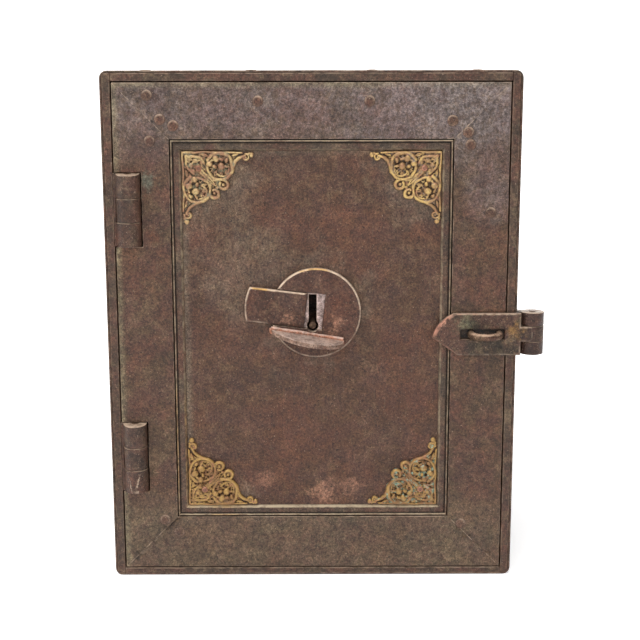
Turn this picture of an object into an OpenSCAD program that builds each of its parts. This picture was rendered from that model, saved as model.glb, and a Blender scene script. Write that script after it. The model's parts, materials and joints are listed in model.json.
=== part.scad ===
/* [Box] */
// Outside width of the box
box_w = 280; // [270:1:300]
// Outside height of the box
box_h = 352; // [345:1:380]
// Outside depth of the box
box_d = 220; // [180:1:260]
// Thickness of the sheet that wraps the box
skin_t = 1.5; // [1:0.1:2]
// Outside radius of the sheet's four long corners
corner_r = 5; // [4:0.5:6]

/* [Front frame] */
// Width of the side and top bars, seen from the front
bar_w = 5.5; // [5:0.5:6]
// Width of the bottom bar, seen from the front
sill_w = 4; // [4:0.5:5]
// How far the bars run back from the front
bar_depth = 12; // [11:0.5:13]
// How far the door stops stand out from the bars
stop_w = 3; // [2:0.5:4]

/* [Door] */
// Gap all round the door
door_gap = 0.9; // [0.8:0.1:1.2]
// Thickness of the mitred face plates
face_t = 3; // [2.5:0.5:3]
// Thickness of the full-size door panel
panel_t = 4; // [3.5:0.5:4]
// Visible width of the stiles and rails
face_w = 37; // [36:0.5:39]
// Width of the moulding around the sunk panel
mould_w = 8; // [7:0.5:9]
// Diameter of the door's rivet heads
rivet_head_d = 7.6; // [6:0.2:8]

/* [Hinges] */
// Distance of the hinge axis from the door's left edge
axis_inset = 9.1; // [9.1:0.1:9.6]
// Diameter of the hinge barrels
barrel_d = 16.4; // [15.4:0.2:16.4]
// Length of a door hinge
hinge_len = 49; // [44:1:52]
// Height of the upper hinge's middle above the base
upper_hinge_z = 260; // [250:1:270]
// Height of the lower hinge's middle above the base
lower_hinge_z = 87.5; // [80:0.5:100]
// Diameter of the hinge pins
pin_d = 5; // [4:0.5:6]
// Radial clearance of a pin in the knuckle that turns on it
pin_play = 0.05; // [0.02:0.01:0.1]

/* [Lock] */
// Diameter of the lock disc
disc_d = 62; // [60:1:66]
// Thickness of the lock disc
disc_t = 4; // [4:0.5:5]
// Sideways place of the disc's centre
lock_x = 2.6; // [2:0.1:3]
// Height of the disc's centre above the base
lock_z = 189.5; // [188:0.5:191]
// Slope of the shutter's slot, down to the right
slot_tilt = 6.5; // [5:0.5:7]
// Height of the shutter's face
shutter_h = 24; // [23:0.5:24.5]
// Travel of the shutter over the keyhole
shutter_travel = 12; // [11:0.5:12]
// Diameter of the drill pin that a hollow key fits
drill_pin_d = 4.6; // [4:0.2:5]
// Travel of the lock bolt
bolt_travel = 9; // [8.5:0.5:9]

/* [Hasp] */
// Height of the strap's middle above the base
hasp_z = 174.8; // [173:0.1:176]
// Height of the strap
strap_h = 29.3; // [28:0.1:30]
// Thickness of the strap
strap_t = 2.8; // [2.4:0.1:3]
// Diameter of the staple's wire
staple_d = 5; // [4.5:0.1:5]

/* [Corner mounts] */
// Length of each mount's two legs
mount_leg = 47; // [46:0.5:50]
// Thickness of the cast brass
mount_t = 1.4; // [1:0.1:1.6]

/* [Hidden] */
$fn = 48;
play = 0.35;                             // between faces that move past each other

front_y = -box_d / 2;
panel_y = front_y + face_t;              // front of the sunk panel
door_back_y = panel_y + panel_t;
in_w = box_w - 2 * skin_t;
in_h = box_h - 2 * skin_t;
mouth_x = box_w / 2 - skin_t - bar_w;    // half width of the mouth
mouth_z0 = skin_t + sill_w;
mouth_z1 = box_h - skin_t - bar_w;
door_x = mouth_x - door_gap;             // half width of the door
door_z0 = mouth_z0 + door_gap;
door_z1 = mouth_z1 - door_gap;
sunk_x = door_x - face_w;                // half width inside the face plates
sunk_z0 = door_z0 + face_w;
sunk_z1 = door_z1 - face_w;
inner_x = sunk_x - mould_w;              // half width inside the moulding
inner_z1 = sunk_z1 - mould_w;
mid_z = (sunk_z0 + sunk_z1) / 2;

back_t = 2;
back_flange = 16;
back_inset = 1;
back_rivet_y = box_d / 2 - back_inset - back_flange / 2;
back_rivets_x = [-88, 0, 88];
back_rivets_z = [30, 178, 322];
bar_rivet_y = front_y + bar_depth / 2;
bar_rivets_x = [-110, -40, 40, 110];
bar_rivets_z = [30, 128, 215, 322];
small_shank_r = 1.8;
small_head_r = 3.4;
small_head_t = 1.2;
flush_head_t = 0.8;

stop_depth = bar_depth - face_t - panel_t - play - 0.5;
stop_x0 = -114;

barrel_r = barrel_d / 2;
pin_r = pin_d / 2;
pin_tip = 0.3;
knuckle_gap = 0.3;
hinge_x = -door_x + axis_inset;
notch_x = hinge_x + barrel_r + 0.8;      // right side of the door's hinge notches
notch_len = hinge_len + 1.2;
leaf_t = 1.5;
leaf_rivet_dz = 16.5;
door_leaf_t = 2.5;
door_leaf_h = 38;
door_leaf_x1 = notch_x + 16;
door_leaf_rivets_x = [notch_x + 5, notch_x + 12];
door_leaf_rivet_dz = 13;
body_web = 6.5;                          // how deep a body knuckle joins its leaf

door_shank_r = 2;
door_head_t = 0.6;
// Rivets near the sunk panel's corners: [towards the middle, away from the middle]
rivets_top_left = [[3.1, 8.9], [-5.6, 13.1], [-12.7, -1.2], [-13.9, 28.9]];
rivets_top_right = [[1.4, 12], [-9.1, 4.4], [-10.8, -4]];
rivets_bottom_left = [[1.2, 11.2], [-8.7, 2]];
rivets_bottom_right = [[-9.4, 5.4]];
rail_rivets_x = [-35.5, 38.5];
rail_rivet_z = 332;
stile_rivet_x = 120.4;
stile_rivet_z = 258;

// Section of the moulding: inwards from the face plates, and back from the front
mould_section = [
    [0, face_t], [0, 0.5], [0.5, 0.1], [1.6, 0.1], [2.1, 0.6], [2.3, 1], [5, 1.2],
    [5.6, 1.4], [mould_w, face_t - 0.5], [mould_w, face_t]
];

mount_gap = 0.4;
mount_rivet_in = 11.5;
mount_rivet_r = 1.4;
mount_rivet_head_r = 2.1;
mount_rivet_head_t = 0.8;

disc_r = disc_d / 2;
disc_chamfer = 1.2;
slot_lift = 0.9;                         // slot's middle line above the disc's centre
slot_depth = disc_t - 1;
slot_floor_y = panel_y - disc_t + slot_depth;
slot_end = 5.2;                          // closed end, along the slot from the disc's centre
undercut = 1;                            // how much taller the slot is at its floor
shutter_play = 0.3;
shutter_end = slot_end - 0.2 - shutter_travel;
shutter_len = 42;
shutter_end_r = 33;
key_x = 0.4;
key_z = 180.4;
key_hole_r = 4;
key_slot_w = 5.4;
key_slot_top = 202;
drill_pin_r = drill_pin_d / 2;
drill_tenon_r = 1.5;

fin_len = 52.5;
fin_out = 15;
fin_t = 3.5;
fin_tilt = 9.2;
fin_droop = 14;
fin_x = -29.6;
fin_z = 179.5;
fin_arc_r = 38;
fin_arc_u = 30;

case_x0 = -34;
case_x1 = 38;
case_z0 = 148;
case_z1 = 212;
case_t = 1.5;
case_depth = 20;
case_flange = 9;
case_rivet_in = 8;                       // from the case's top and bottom
case_back_y = door_back_y + case_depth;
ward_r = 7;
ward_t = 1;
ward_depth = 6;
bolt_h = 12;
bolt_t = 6;
bolt_z = 160;
bolt_y = front_y + bar_depth + 0.5;      // the bolt passes behind the frame bar
bolt_x0 = -24;
bolt_x1 = in_w / 2 - 1 - bolt_travel;
bolt_notch = [11, 4];
guide_x = 90;
guide_w = 12;
guide_wall = 2.5;
guide_rivet_dz = 14;
spring_t = 0.8;
spring_x0 = 12;
spring_bend = 6;                         // from the case's wall
spring_rise = 8;

strap_play = 0.35;                       // between the strap and the door's face
side_leaf_t = 2.5;
side_leaf_len = 44;
side_web = 5.7;                          // how deep the side leaf's knuckles join it
side_rivets_y = [front_y + 22, front_y + 42];
side_rivet_dz = 8.5;
hasp_x = box_w / 2 + side_leaf_t + 0.4 + barrel_r;
hasp_y = front_y - strap_play - strap_t + barrel_r;
hasp_pin_r = 2.2;
tongue_h = 10.4;
strap_near = hasp_x - box_w / 2 + 0.4;   // distances from the hasp's axis
strap_far = 69.2;
strap_tip_z = -2.2;
strap_shoulder_top = 54.8;
strap_shoulder_bottom = 51.6;
strap_slot_near = 19.6;
strap_slot_far = 49.9;
strap_slot_h = 7;
staple_r = staple_d / 2;
staple_bend_r = 9.6;
staple_leg = 4.5;                        // straight part in front of the door
staple_x = hasp_x - 32.9;

// ---------------------------------------------------------------- helpers

// Extrudes a front outline, drawn in X and Z, back from y by a thickness
module plate(y, t) {
    translate([0, y + t, 0]) rotate([90, 0, 0]) linear_extrude(t) children();
}

// A round rod along Y
module rod_y(x, z, r, y0, y1) {
    translate([x, y0, z]) rotate([-90, 0, 0]) cylinder(r = r, h = y1 - y0);
}

// A rectangle between two corners
module span(x0, z0, x1, z1) {
    translate([x0, z0]) square([x1 - x0, z1 - z0]);
}

// A rectangle with rounded corners, centred on X and standing on z0
module round_rect(w, h, r, z0) {
    span(-w / 2 + r, z0, w / 2 - r, z0 + h);
    span(-w / 2, z0 + r, w / 2, z0 + h - r);
    for (x = [-w / 2 + r, w / 2 - r], z = [z0 + r, z0 + h - r]) translate([x, z]) circle(r);
}

// ---------------------------------------------------------------- rivets of the box

// Rivets through the skin near the back: on both sides, on top and below
module back_rivet_places() {
    for (side = [-1, 1], z = back_rivets_z)
        translate([side * box_w / 2, back_rivet_y, z]) rotate([0, side * 90, 0]) children();
    for (x = back_rivets_x) {
        translate([x, back_rivet_y, box_h]) children();
        translate([x, back_rivet_y, 0]) rotate([180, 0, 0]) children();
    }
}

// Rivets through the skin into the side and top bars
module bar_rivet_places() {
    for (side = [-1, 1], z = bar_rivets_z)
        translate([side * box_w / 2, bar_rivet_y, z]) rotate([0, side * 90, 0]) children();
    for (x = bar_rivets_x) translate([x, bar_rivet_y, box_h]) children();
}

// Rivets through the skin into the bottom bar
module sill_rivet_places() {
    for (x = bar_rivets_x) translate([x, bar_rivet_y, 0]) rotate([180, 0, 0]) children();
}

// Rivets through the skin and the left bar into the hinge leaves
module leaf_rivet_places() {
    for (z = [upper_hinge_z, lower_hinge_z], side = [-1, 1])
        translate([-box_w / 2, bar_rivet_y, z + side * leaf_rivet_dz]) rotate([0, -90, 0]) children();
}

// Rivets through the hasp's side leaf and the skin
module hasp_rivet_places() {
    for (y = side_rivets_y, side = [-1, 1])
        translate([box_w / 2, y, hasp_z + side * side_rivet_dz]) rotate([0, 90, 0]) children();
}

// A shank pointing inwards from the skin's outside face
module shank(depth) {
    translate([0, 0, -depth]) cylinder(r = small_shank_r, h = depth);
}

// A rivet with its head hammered flush into the skin
module flush_rivet(depth) {
    shank(depth);
    translate([0, 0, -flush_head_t]) cylinder(r = small_head_r, h = flush_head_t);
}

module back_rivets() {
    color("#5d4a42") back_rivet_places() flush_rivet(skin_t + back_t);
}

module frame_rivets() {
    color("#5d4a42") {
        bar_rivet_places() flush_rivet(skin_t + bar_w);
        sill_rivet_places() flush_rivet(skin_t + sill_w);
    }
}

module hinge_leaf_rivets() {
    color("#5d4a42") leaf_rivet_places() flush_rivet(skin_t + bar_w + leaf_t);
}

module hasp_leaf_rivets() {
    color("#5d4a42") hasp_rivet_places() {
        translate([0, 0, side_leaf_t]) shank(side_leaf_t + skin_t);
        translate([0, 0, side_leaf_t]) cylinder(r = small_head_r, h = small_head_t);
    }
}

// ---------------------------------------------------------------- box

// Sheet wrapped round the top, the sides and the base
module outer_shell() {
    color("#4a3d39") difference() {
        plate(front_y, box_d) difference() {
            round_rect(box_w, box_h, corner_r, 0);
            round_rect(in_w, in_h, corner_r - skin_t, skin_t);
        }
        back_rivet_places() flush_rivet(skin_t + 1);
        bar_rivet_places() flush_rivet(skin_t + 1);
        sill_rivet_places() flush_rivet(skin_t + 1);
        leaf_rivet_places() flush_rivet(skin_t + 1);
        hasp_rivet_places() shank(skin_t + 1);
    }
}

// Back sheet with a flange turned forwards along its four sides
module back_plate() {
    y0 = box_d / 2 - back_inset - back_flange;
    r = corner_r - skin_t;
    color("#43383a") difference() {
        plate(y0, back_flange) round_rect(in_w, in_h, r, skin_t);
        plate(y0 - 1, back_flange - back_t + 1)
            round_rect(in_w - 2 * back_t, in_h - 2 * back_t, r - back_t, skin_t + back_t);
        back_rivet_places() shank(skin_t + back_t + 1);
    }
}

// One flat bar of the rim, cut to the skin's rounded corners
module frame_bar(x0, z0, x1, z1) {
    color("#55473f") difference() {
        plate(front_y, bar_depth) intersection() {
            span(x0, z0, x1, z1);
            round_rect(in_w, in_h, corner_r - skin_t, skin_t);
        }
        bar_rivet_places() shank(skin_t + bar_w + 1);
        sill_rivet_places() shank(skin_t + sill_w + 1);
        leaf_rivet_places() shank(skin_t + bar_w + 1);
    }
}

module frame_bar_left() {
    frame_bar(-in_w / 2, skin_t, -mouth_x, box_h - skin_t);
}

module frame_bar_right() {
    frame_bar(mouth_x, skin_t, in_w / 2, box_h - skin_t);
}

module frame_bar_top() {
    frame_bar(-mouth_x, mouth_z1, mouth_x, box_h - skin_t);
}

module frame_bar_bottom() {
    frame_bar(-mouth_x, skin_t, mouth_x, mouth_z0);
}

// A strip inside the mouth that the closed door rests against
module stop_strip(x0, z0, x1, z1) {
    color("#3d3230") plate(door_back_y + play, stop_depth) span(x0, z0, x1, z1);
}

module stop_strip_right() {
    stop_strip(mouth_x - stop_w, mouth_z0 + stop_w, mouth_x, mouth_z1 - stop_w);
}

module stop_strip_top() {
    stop_strip(stop_x0, mouth_z1 - stop_w, mouth_x, mouth_z1);
}

module stop_strip_bottom() {
    stop_strip(stop_x0, mouth_z0, mouth_x, mouth_z0 + stop_w);
}

// ---------------------------------------------------------------- door hinges

// A hinge's knuckle, as its lowest height and its length; the middle one turns
function knuckle(hinge_z, i) =
    let (step = hinge_len / 3, gap = i == 1 ? knuckle_gap : 0)
    [hinge_z - hinge_len / 2 + i * step + gap, step - 2 * gap];

// A round bar along the door's hinge axis
module on_axis(z0, len, r) {
    translate([hinge_x, front_y, z0]) cylinder(r = r, h = len);
}

// Outer knuckles and the leaf that lies against the left bar
module hinge_body_leaf(hinge_z) {
    color("#4b3c3a") difference() {
        union() {
            translate([-mouth_x, front_y, hinge_z - hinge_len / 2])
                cube([leaf_t, bar_depth, hinge_len]);
            for (i = [0, 2]) {
                k = knuckle(hinge_z, i);
                on_axis(k[0], k[1], barrel_r);
                translate([-mouth_x, front_y, k[0]])
                    cube([hinge_x + mouth_x, body_web, k[1]]);
            }
        }
        on_axis(hinge_z - hinge_len, 2 * hinge_len, pin_r);
        leaf_rivet_places() shank(skin_t + bar_w + leaf_t);
    }
}

module upper_hinge_body_leaf() {
    hinge_body_leaf(upper_hinge_z);
}

module lower_hinge_body_leaf() {
    hinge_body_leaf(lower_hinge_z);
}

// Pin through the three knuckles, with its tip showing below the barrel
module hinge_pin(hinge_z) {
    color("#6a5a50") on_axis(hinge_z - hinge_len / 2 - pin_tip, hinge_len + pin_tip, pin_r);
}

module upper_hinge_pin() {
    hinge_pin(upper_hinge_z);
}

module lower_hinge_pin() {
    hinge_pin(lower_hinge_z);
}

// Rivets that hold a door leaf to the door
module door_leaf_rivet_places() {
    for (z = [upper_hinge_z, lower_hinge_z], x = door_leaf_rivets_x, side = [-1, 1])
        translate([x, 0, z + side * door_leaf_rivet_dz]) children();
}

// Middle knuckle and the leaf that runs behind the door panel
module hinge_door_leaf(hinge_z) {
    k = knuckle(hinge_z, 1);
    color("#4b3c3a") difference() {
        union() {
            on_axis(k[0], k[1], barrel_r);
            translate([hinge_x, door_back_y, k[0]])
                cube([door_leaf_x1 - hinge_x, door_leaf_t, k[1]]);
            translate([notch_x, door_back_y, hinge_z - door_leaf_h / 2])
                cube([door_leaf_x1 - notch_x, door_leaf_t, door_leaf_h]);
        }
        on_axis(hinge_z - hinge_len, 2 * hinge_len, pin_r + pin_play);
        door_leaf_rivet_places() rod_y(0, 0, door_shank_r, front_y, 0);
    }
}

module upper_hinge_door_leaf() {
    hinge_door_leaf(upper_hinge_z);
}

module lower_hinge_door_leaf() {
    hinge_door_leaf(lower_hinge_z);
}

// Filed flush with the face plates
module door_leaf_rivets() {
    color("#5a4340") door_leaf_rivet_places()
        rod_y(0, 0, door_shank_r, front_y, door_back_y + door_leaf_t);
}

// ---------------------------------------------------------------- door

// The door's outline with a notch for each hinge barrel
module door_outline() {
    difference() {
        span(-door_x, door_z0, door_x, door_z1);
        for (z = [upper_hinge_z, lower_hinge_z])
            span(-door_x - 1, z - notch_len / 2, notch_x, z + notch_len / 2);
    }
}

// Puts children at rivet places near one corner of the sunk panel
module near_corner(side, up, places) {
    for (p = places)
        translate([side * (sunk_x - p[0]), 0, mid_z + up * (sunk_z1 - mid_z + p[1])]) children();
}

// Rivets whose heads show on the face plates
module door_rivet_places() {
    near_corner(-1, 1, rivets_top_left) children();
    near_corner(1, 1, rivets_top_right) children();
    near_corner(-1, -1, rivets_bottom_left) children();
    near_corner(1, -1, rivets_bottom_right) children();
    for (x = rail_rivets_x) translate([x, 0, rail_rivet_z]) children();
    translate([stile_rivet_x, 0, stile_rivet_z]) children();
}

module door_rivets() {
    color("#5a4340") door_rivet_places() {
        rod_y(0, 0, door_shank_r, front_y, door_back_y);
        rod_y(0, 0, rivet_head_d / 2, front_y - door_head_t, front_y);
    }
}

// Holes through the whole door for rivets and the staple's legs
module door_holes() {
    door_rivet_places() rod_y(0, 0, door_shank_r, front_y - 1, door_back_y + 1);
    door_leaf_rivet_places() rod_y(0, 0, door_shank_r, front_y - 1, door_back_y + 1);
    staple_legs(front_y - 1, door_back_y + 1);
}

// Full-size sheet behind the face plates; its middle is the sunk panel
module door_panel() {
    color("#5b4340") difference() {
        plate(panel_y, panel_t) door_outline();
        door_holes();
        mount_rivet_places() rod_y(0, 0, mount_rivet_r, panel_y - 1, door_back_y + 1);
        lock_rivet_places() rod_y(0, 0, small_shank_r, panel_y - 1, door_back_y + 1);
        keyhole(panel_y - 1, door_back_y + 1);
    }
}

// A face plate, cut to its mitred outline
module face_plate(outline) {
    color("#564a46") difference() {
        plate(front_y, face_t) intersection() {
            door_outline();
            polygon(outline);
        }
        door_holes();
    }
}

module stile_left() {
    face_plate([[-door_x, door_z0], [-sunk_x, sunk_z0], [-sunk_x, sunk_z1], [-door_x, door_z1]]);
}

module stile_right() {
    face_plate([[door_x, door_z0], [sunk_x, sunk_z0], [sunk_x, sunk_z1], [door_x, door_z1]]);
}

module rail_top() {
    face_plate([[-door_x, door_z1], [-sunk_x, sunk_z1], [sunk_x, sunk_z1], [door_x, door_z1]]);
}

module rail_bottom() {
    face_plate([[-door_x, door_z0], [-sunk_x, sunk_z0], [sunk_x, sunk_z0], [door_x, door_z0]]);
}

// A length of moulding along Z on the left of a panel, mitred at both ends
module mitred_moulding(z0, z1) {
    color("#4f4844") intersection() {
        translate([-sunk_x, front_y, z0]) linear_extrude(z1 - z0) polygon(mould_section);
        plate(front_y - 1, face_t + 2)
            polygon([[-sunk_x, z0], [-inner_x, z0 + mould_w],
                     [-inner_x, z1 - mould_w], [-sunk_x, z1]]);
    }
}

module moulding_left() {
    mitred_moulding(sunk_z0, sunk_z1);
}

module moulding_right() {
    mirror([1, 0, 0]) moulding_left();
}

module moulding_top() {
    translate([0, 0, sunk_z1 - sunk_x]) rotate([0, 90, 0]) mitred_moulding(-sunk_x, sunk_x);
}

module moulding_bottom() {
    translate([0, 0, 2 * mid_z]) mirror([0, 0, 1]) moulding_top();
}

// ---------------------------------------------------------------- corner mounts

// Moves a shape drawn from the top left corner of the sunk panel to any corner
module at_corner(side, up) {
    translate([side * inner_x, 0, mid_z + up * (inner_z1 - mid_z)])
        mirror([side > 0 ? 1 : 0, 0, 0]) mirror([0, 0, up > 0 ? 1 : 0]) children();
}

// Half of a mount's outline: one medallion, one outer curl and one tapering tail
module mount_half() {
    translate([mount_leg / 2, mount_leg * 0.22]) circle(mount_leg * 0.2);
    translate([mount_leg * 0.58, mount_leg * 0.46]) circle(mount_leg * 0.1);
    polygon([[0, 0], [mount_leg, 0], [mount_leg, mount_leg * 0.06],
             [mount_leg * 0.75, mount_leg * 0.2], [mount_leg * 0.5, mount_leg * 0.5],
             [mount_leg * 0.2, mount_leg * 0.2]]);
}

module mount_outline() {
    translate([mount_gap, mount_gap]) {
        mount_half();
        mirror([1, -1]) mount_half();
    }
}

// Cast brass corner, riveted to the sunk panel
module corner_mount(side, up) {
    color("#a8894f") at_corner(side, up) difference() {
        plate(panel_y - mount_t, mount_t) mount_outline();
        rod_y(mount_rivet_in, mount_rivet_in, mount_rivet_r, panel_y - mount_t - 1, panel_y + 1);
    }
}

module corner_mount_top_left() {
    corner_mount(-1, 1);
}

module corner_mount_top_right() {
    corner_mount(1, 1);
}

module corner_mount_bottom_left() {
    corner_mount(-1, -1);
}

module corner_mount_bottom_right() {
    corner_mount(1, -1);
}

module mount_rivet_places() {
    for (side = [-1, 1], up = [-1, 1])
        at_corner(side, up) translate([mount_rivet_in, 0, mount_rivet_in]) children();
}

module corner_mount_rivets() {
    color("#b56a4c") mount_rivet_places() {
        rod_y(0, 0, mount_rivet_r, panel_y - mount_t, door_back_y);
        rod_y(0, 0, mount_rivet_head_r, panel_y - mount_t - mount_rivet_head_t, panel_y - mount_t);
    }
}

// ---------------------------------------------------------------- lock

// Turns a shape drawn along the shutter's slot to the slot's slope
module along_slot() {
    translate([lock_x, 0, lock_z]) rotate([0, slot_tilt, 0]) translate([0, 0, slot_lift])
        children();
}

// A bar with undercut sides along the slot, its face at the disc's front
module dovetail(s0, s1, face_h, depth) {
    grow = undercut * depth / slot_depth;
    translate([s0, panel_y - disc_t, 0]) rotate([90, 0, 90]) linear_extrude(s1 - s0)
        polygon([[0, -face_h / 2], [0, face_h / 2],
                 [depth, face_h / 2 + grow], [depth, -face_h / 2 - grow]]);
}

// Keyhole: a round hole with a slot above it
module keyhole(y0, y1) {
    rod_y(key_x, key_z, key_hole_r, y0, y1);
    translate([key_x - key_slot_w / 2, y0, key_z])
        cube([key_slot_w, y1 - y0, key_slot_top - key_z]);
}

// Round plate on the sunk panel with an open slot for the shutter
module lock_disc() {
    color("#54423e") difference() {
        translate([lock_x, panel_y, lock_z]) rotate([90, 0, 0]) {
            cylinder(r = disc_r, h = disc_t - disc_chamfer);
            translate([0, 0, disc_t - disc_chamfer])
                cylinder(r1 = disc_r, r2 = disc_r - disc_chamfer, h = disc_chamfer);
        }
        along_slot() dovetail(-2 * disc_r, slot_end, shutter_h + 2 * shutter_play, slot_depth);
        keyhole(panel_y - disc_t - 1, panel_y + 1);
    }
}

// Sliding cover over the keyhole; its left end sticks out for the thumb
module keyhole_shutter() {
    color("#5b4541") along_slot() intersection() {
        dovetail(shutter_end - shutter_len, shutter_end, shutter_h, slot_depth - shutter_play);
        rod_y(shutter_end - shutter_len + shutter_end_r, 0, shutter_end_r,
              panel_y - disc_t - 1, panel_y + 1);
    }
}

// Half-moon plate under the keyhole that pulls the door open
module pull_fin() {
    color("#8a6a60") intersection() {
        translate([fin_x, panel_y - disc_t, fin_z]) rotate([0, fin_tilt, 0])
            rotate([180 + fin_droop, 0, 0]) linear_extrude(fin_t) intersection() {
                translate([fin_arc_u, fin_out - fin_arc_r]) circle(fin_arc_r, $fn = 96);
                span(0, -2, fin_len, fin_out + 1);
            }
        translate([-box_w, panel_y - disc_t - box_d, 0]) cube([2 * box_w, box_d, box_h]);
    }
}

// Rivets that hold the lock case and the bolt's guide to the door
module lock_rivet_places() {
    for (x = [case_x0 - case_flange / 2, case_x1 + case_flange / 2],
         z = [case_z0 + case_rivet_in, case_z1 - case_rivet_in])
        translate([x, 0, z]) children();
    for (side = [-1, 1])
        translate([guide_x + guide_w / 2, 0, bolt_z + side * guide_rivet_dz]) children();
}

// Filed flush with the panel's face
module lock_rivets() {
    color("#5a4340") lock_rivet_places()
        rod_y(0, 0, small_shank_r, panel_y, door_back_y + case_t + small_head_t);
}

// Space that the bolt slides in
module bolt_way(x0, x1) {
    translate([x0, bolt_y - play, bolt_z - bolt_h / 2 - play])
        cube([x1 - x0, bolt_t + 2 * play, bolt_h + 2 * play]);
}

// Box over the works, with a flange on both sides
module lock_case() {
    color("#4a3f3c") difference() {
        union() {
            plate(door_back_y, case_depth) span(case_x0, case_z0, case_x1, case_z1);
            plate(door_back_y, case_t)
                span(case_x0 - case_flange, case_z0, case_x1 + case_flange, case_z1);
        }
        plate(door_back_y - 1, case_depth - case_t + 1)
            span(case_x0 + case_t, case_z0 + case_t, case_x1 - case_t, case_z1 - case_t);
        bolt_way(case_x1 - 2 * case_t, case_x1 + 1);
        rod_y(key_x, key_z, drill_tenon_r, door_back_y, case_back_y + 1);
        lock_rivet_places() rod_y(0, 0, small_shank_r, door_back_y - 1, door_back_y + case_t + 1);
    }
}

// Pin that the hollow key turns on, with a tenon through the case
module drill_pin() {
    color("#8c7462") {
        rod_y(key_x, key_z, drill_pin_r, slot_floor_y + 0.1, case_back_y - case_t);
        rod_y(key_x, key_z, drill_tenon_r, slot_floor_y + 1, case_back_y);
    }
}

// Ring that only the right key's bit passes
module ward_ring() {
    color("#6b5f58") difference() {
        rod_y(key_x, key_z, ward_r + ward_t, case_back_y - case_t - ward_depth, case_back_y - case_t);
        rod_y(key_x, key_z, ward_r, case_back_y - case_t - ward_depth - 1, case_back_y);
    }
}

// Leaf spring, held by the case's right wall, that lies along the bolt's top
module bolt_spring() {
    low = bolt_z + bolt_h / 2 + play;
    wall = case_x1 - case_t;
    color("#7c7068") plate(bolt_y + 0.5, bolt_t - 1) {
        span(spring_x0, low, wall - spring_bend, low + spring_t);
        polygon([[wall - spring_bend, low], [wall, low + spring_rise],
                 [wall, low + spring_rise + 2 * spring_t],
                 [wall - spring_bend, low + spring_t]]);
    }
}

// Sliding bolt with a talon notch above the key
module lock_bolt() {
    color("#6f655e") difference() {
        plate(bolt_y, bolt_t)
            span(bolt_x0, bolt_z - bolt_h / 2, bolt_x1, bolt_z + bolt_h / 2);
        plate(bolt_y - 1, bolt_t + 2)
            translate([key_x - bolt_notch[0] / 2, bolt_z + bolt_h / 2 - bolt_notch[1]])
                square([bolt_notch[0], bolt_notch[1] + 1]);
    }
}

// Block near the door's edge that the bolt slides through
module bolt_guide() {
    h = bolt_h / 2 + play + guide_wall;
    foot = guide_rivet_dz + 4;
    color("#4a3f3c") difference() {
        union() {
            plate(door_back_y, bolt_y + bolt_t + play + guide_wall - door_back_y)
                span(guide_x, bolt_z - h, guide_x + guide_w, bolt_z + h);
            plate(door_back_y, case_t)
                span(guide_x, bolt_z - foot, guide_x + guide_w, bolt_z + foot);
        }
        bolt_way(guide_x - 1, guide_x + guide_w + 1);
        lock_rivet_places() rod_y(0, 0, small_shank_r, door_back_y - 1, door_back_y + case_t + 1);
    }
}

// ---------------------------------------------------------------- hasp

// The staple's two legs
module staple_legs(y0, y1) {
    for (side = [-1, 1]) rod_y(staple_x + side * staple_bend_r, hasp_z, staple_r, y0, y1);
}

// Bent rod that the padlock's shackle goes through
module padlock_staple() {
    color("#7d6a5c") {
        staple_legs(front_y - staple_leg, door_back_y);
        translate([staple_x, front_y - staple_leg, hasp_z]) rotate([0, 0, 180])
            rotate_extrude(angle = 180) translate([staple_bend_r, 0]) circle(staple_r);
    }
}

// A round bar along the hasp's hinge axis, between two heights from its middle
module on_hasp_axis(z0, z1, r) {
    translate([hasp_x, hasp_y, hasp_z + z0]) cylinder(r = r, h = z1 - z0);
}

// Leaf on the side of the box with the top and bottom knuckles
module hasp_body_leaf() {
    half = strap_h / 2;
    inner = tongue_h / 2 + knuckle_gap;
    color("#4b3c3a") difference() {
        union() {
            translate([box_w / 2, hasp_y, hasp_z - half])
                cube([side_leaf_t, side_leaf_len, strap_h]);
            for (z = [[-half, -inner], [inner, half]]) {
                on_hasp_axis(z[0], z[1], barrel_r);
                translate([box_w / 2, hasp_y, hasp_z + z[0]])
                    cube([hasp_x - box_w / 2, side_web, z[1] - z[0]]);
            }
        }
        translate([box_w / 2 - 1, hasp_y - 1, hasp_z - inner])
            cube([side_leaf_t + 2, barrel_r + 2, 2 * inner]);
        on_hasp_axis(-strap_h, strap_h, hasp_pin_r);
        hasp_rivet_places() cylinder(r = small_shank_r, h = 3 * side_leaf_t, center = true);
    }
}

module hasp_pin() {
    color("#6a5a50") on_hasp_axis(-strap_h / 2 - 0.5, strap_h / 2 + 0.5, hasp_pin_r);
}

// Point on the strap's curved upper edge, from the tip (t = 0) to the shoulder (t = 1)
function nose(t) =
    (1 - t) * (1 - t) * [-strap_far, strap_tip_z]
    + 2 * t * (1 - t) * [-strap_far + 2.5, strap_h * 0.3]
    + t * t * [-strap_shoulder_top, strap_h / 2];

// Slotted strap that swings over the staple
module hasp_strap() {
    color("#5d524a") difference() {
        union() {
            translate([hasp_x, 0, hasp_z]) plate(front_y - strap_play - strap_t, strap_t) {
                polygon(concat(
                    [[-strap_shoulder_bottom, -strap_h / 2]],
                    [for (i = [0 : 8]) nose(i / 8)],
                    [[-strap_near, strap_h / 2], [-strap_near, -strap_h / 2]]));
                span(-strap_near - 1, -tongue_h / 2, 0, tongue_h / 2);
            }
            on_hasp_axis(-tongue_h / 2, tongue_h / 2, barrel_r);
        }
        translate([hasp_x, 0, hasp_z]) plate(front_y - strap_play - strap_t - 1, strap_t + 2)
            span(-strap_slot_far, -strap_slot_h / 2, -strap_slot_near, strap_slot_h / 2);
        on_hasp_axis(-strap_h, strap_h, hasp_pin_r + pin_play);
    }
}

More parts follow.
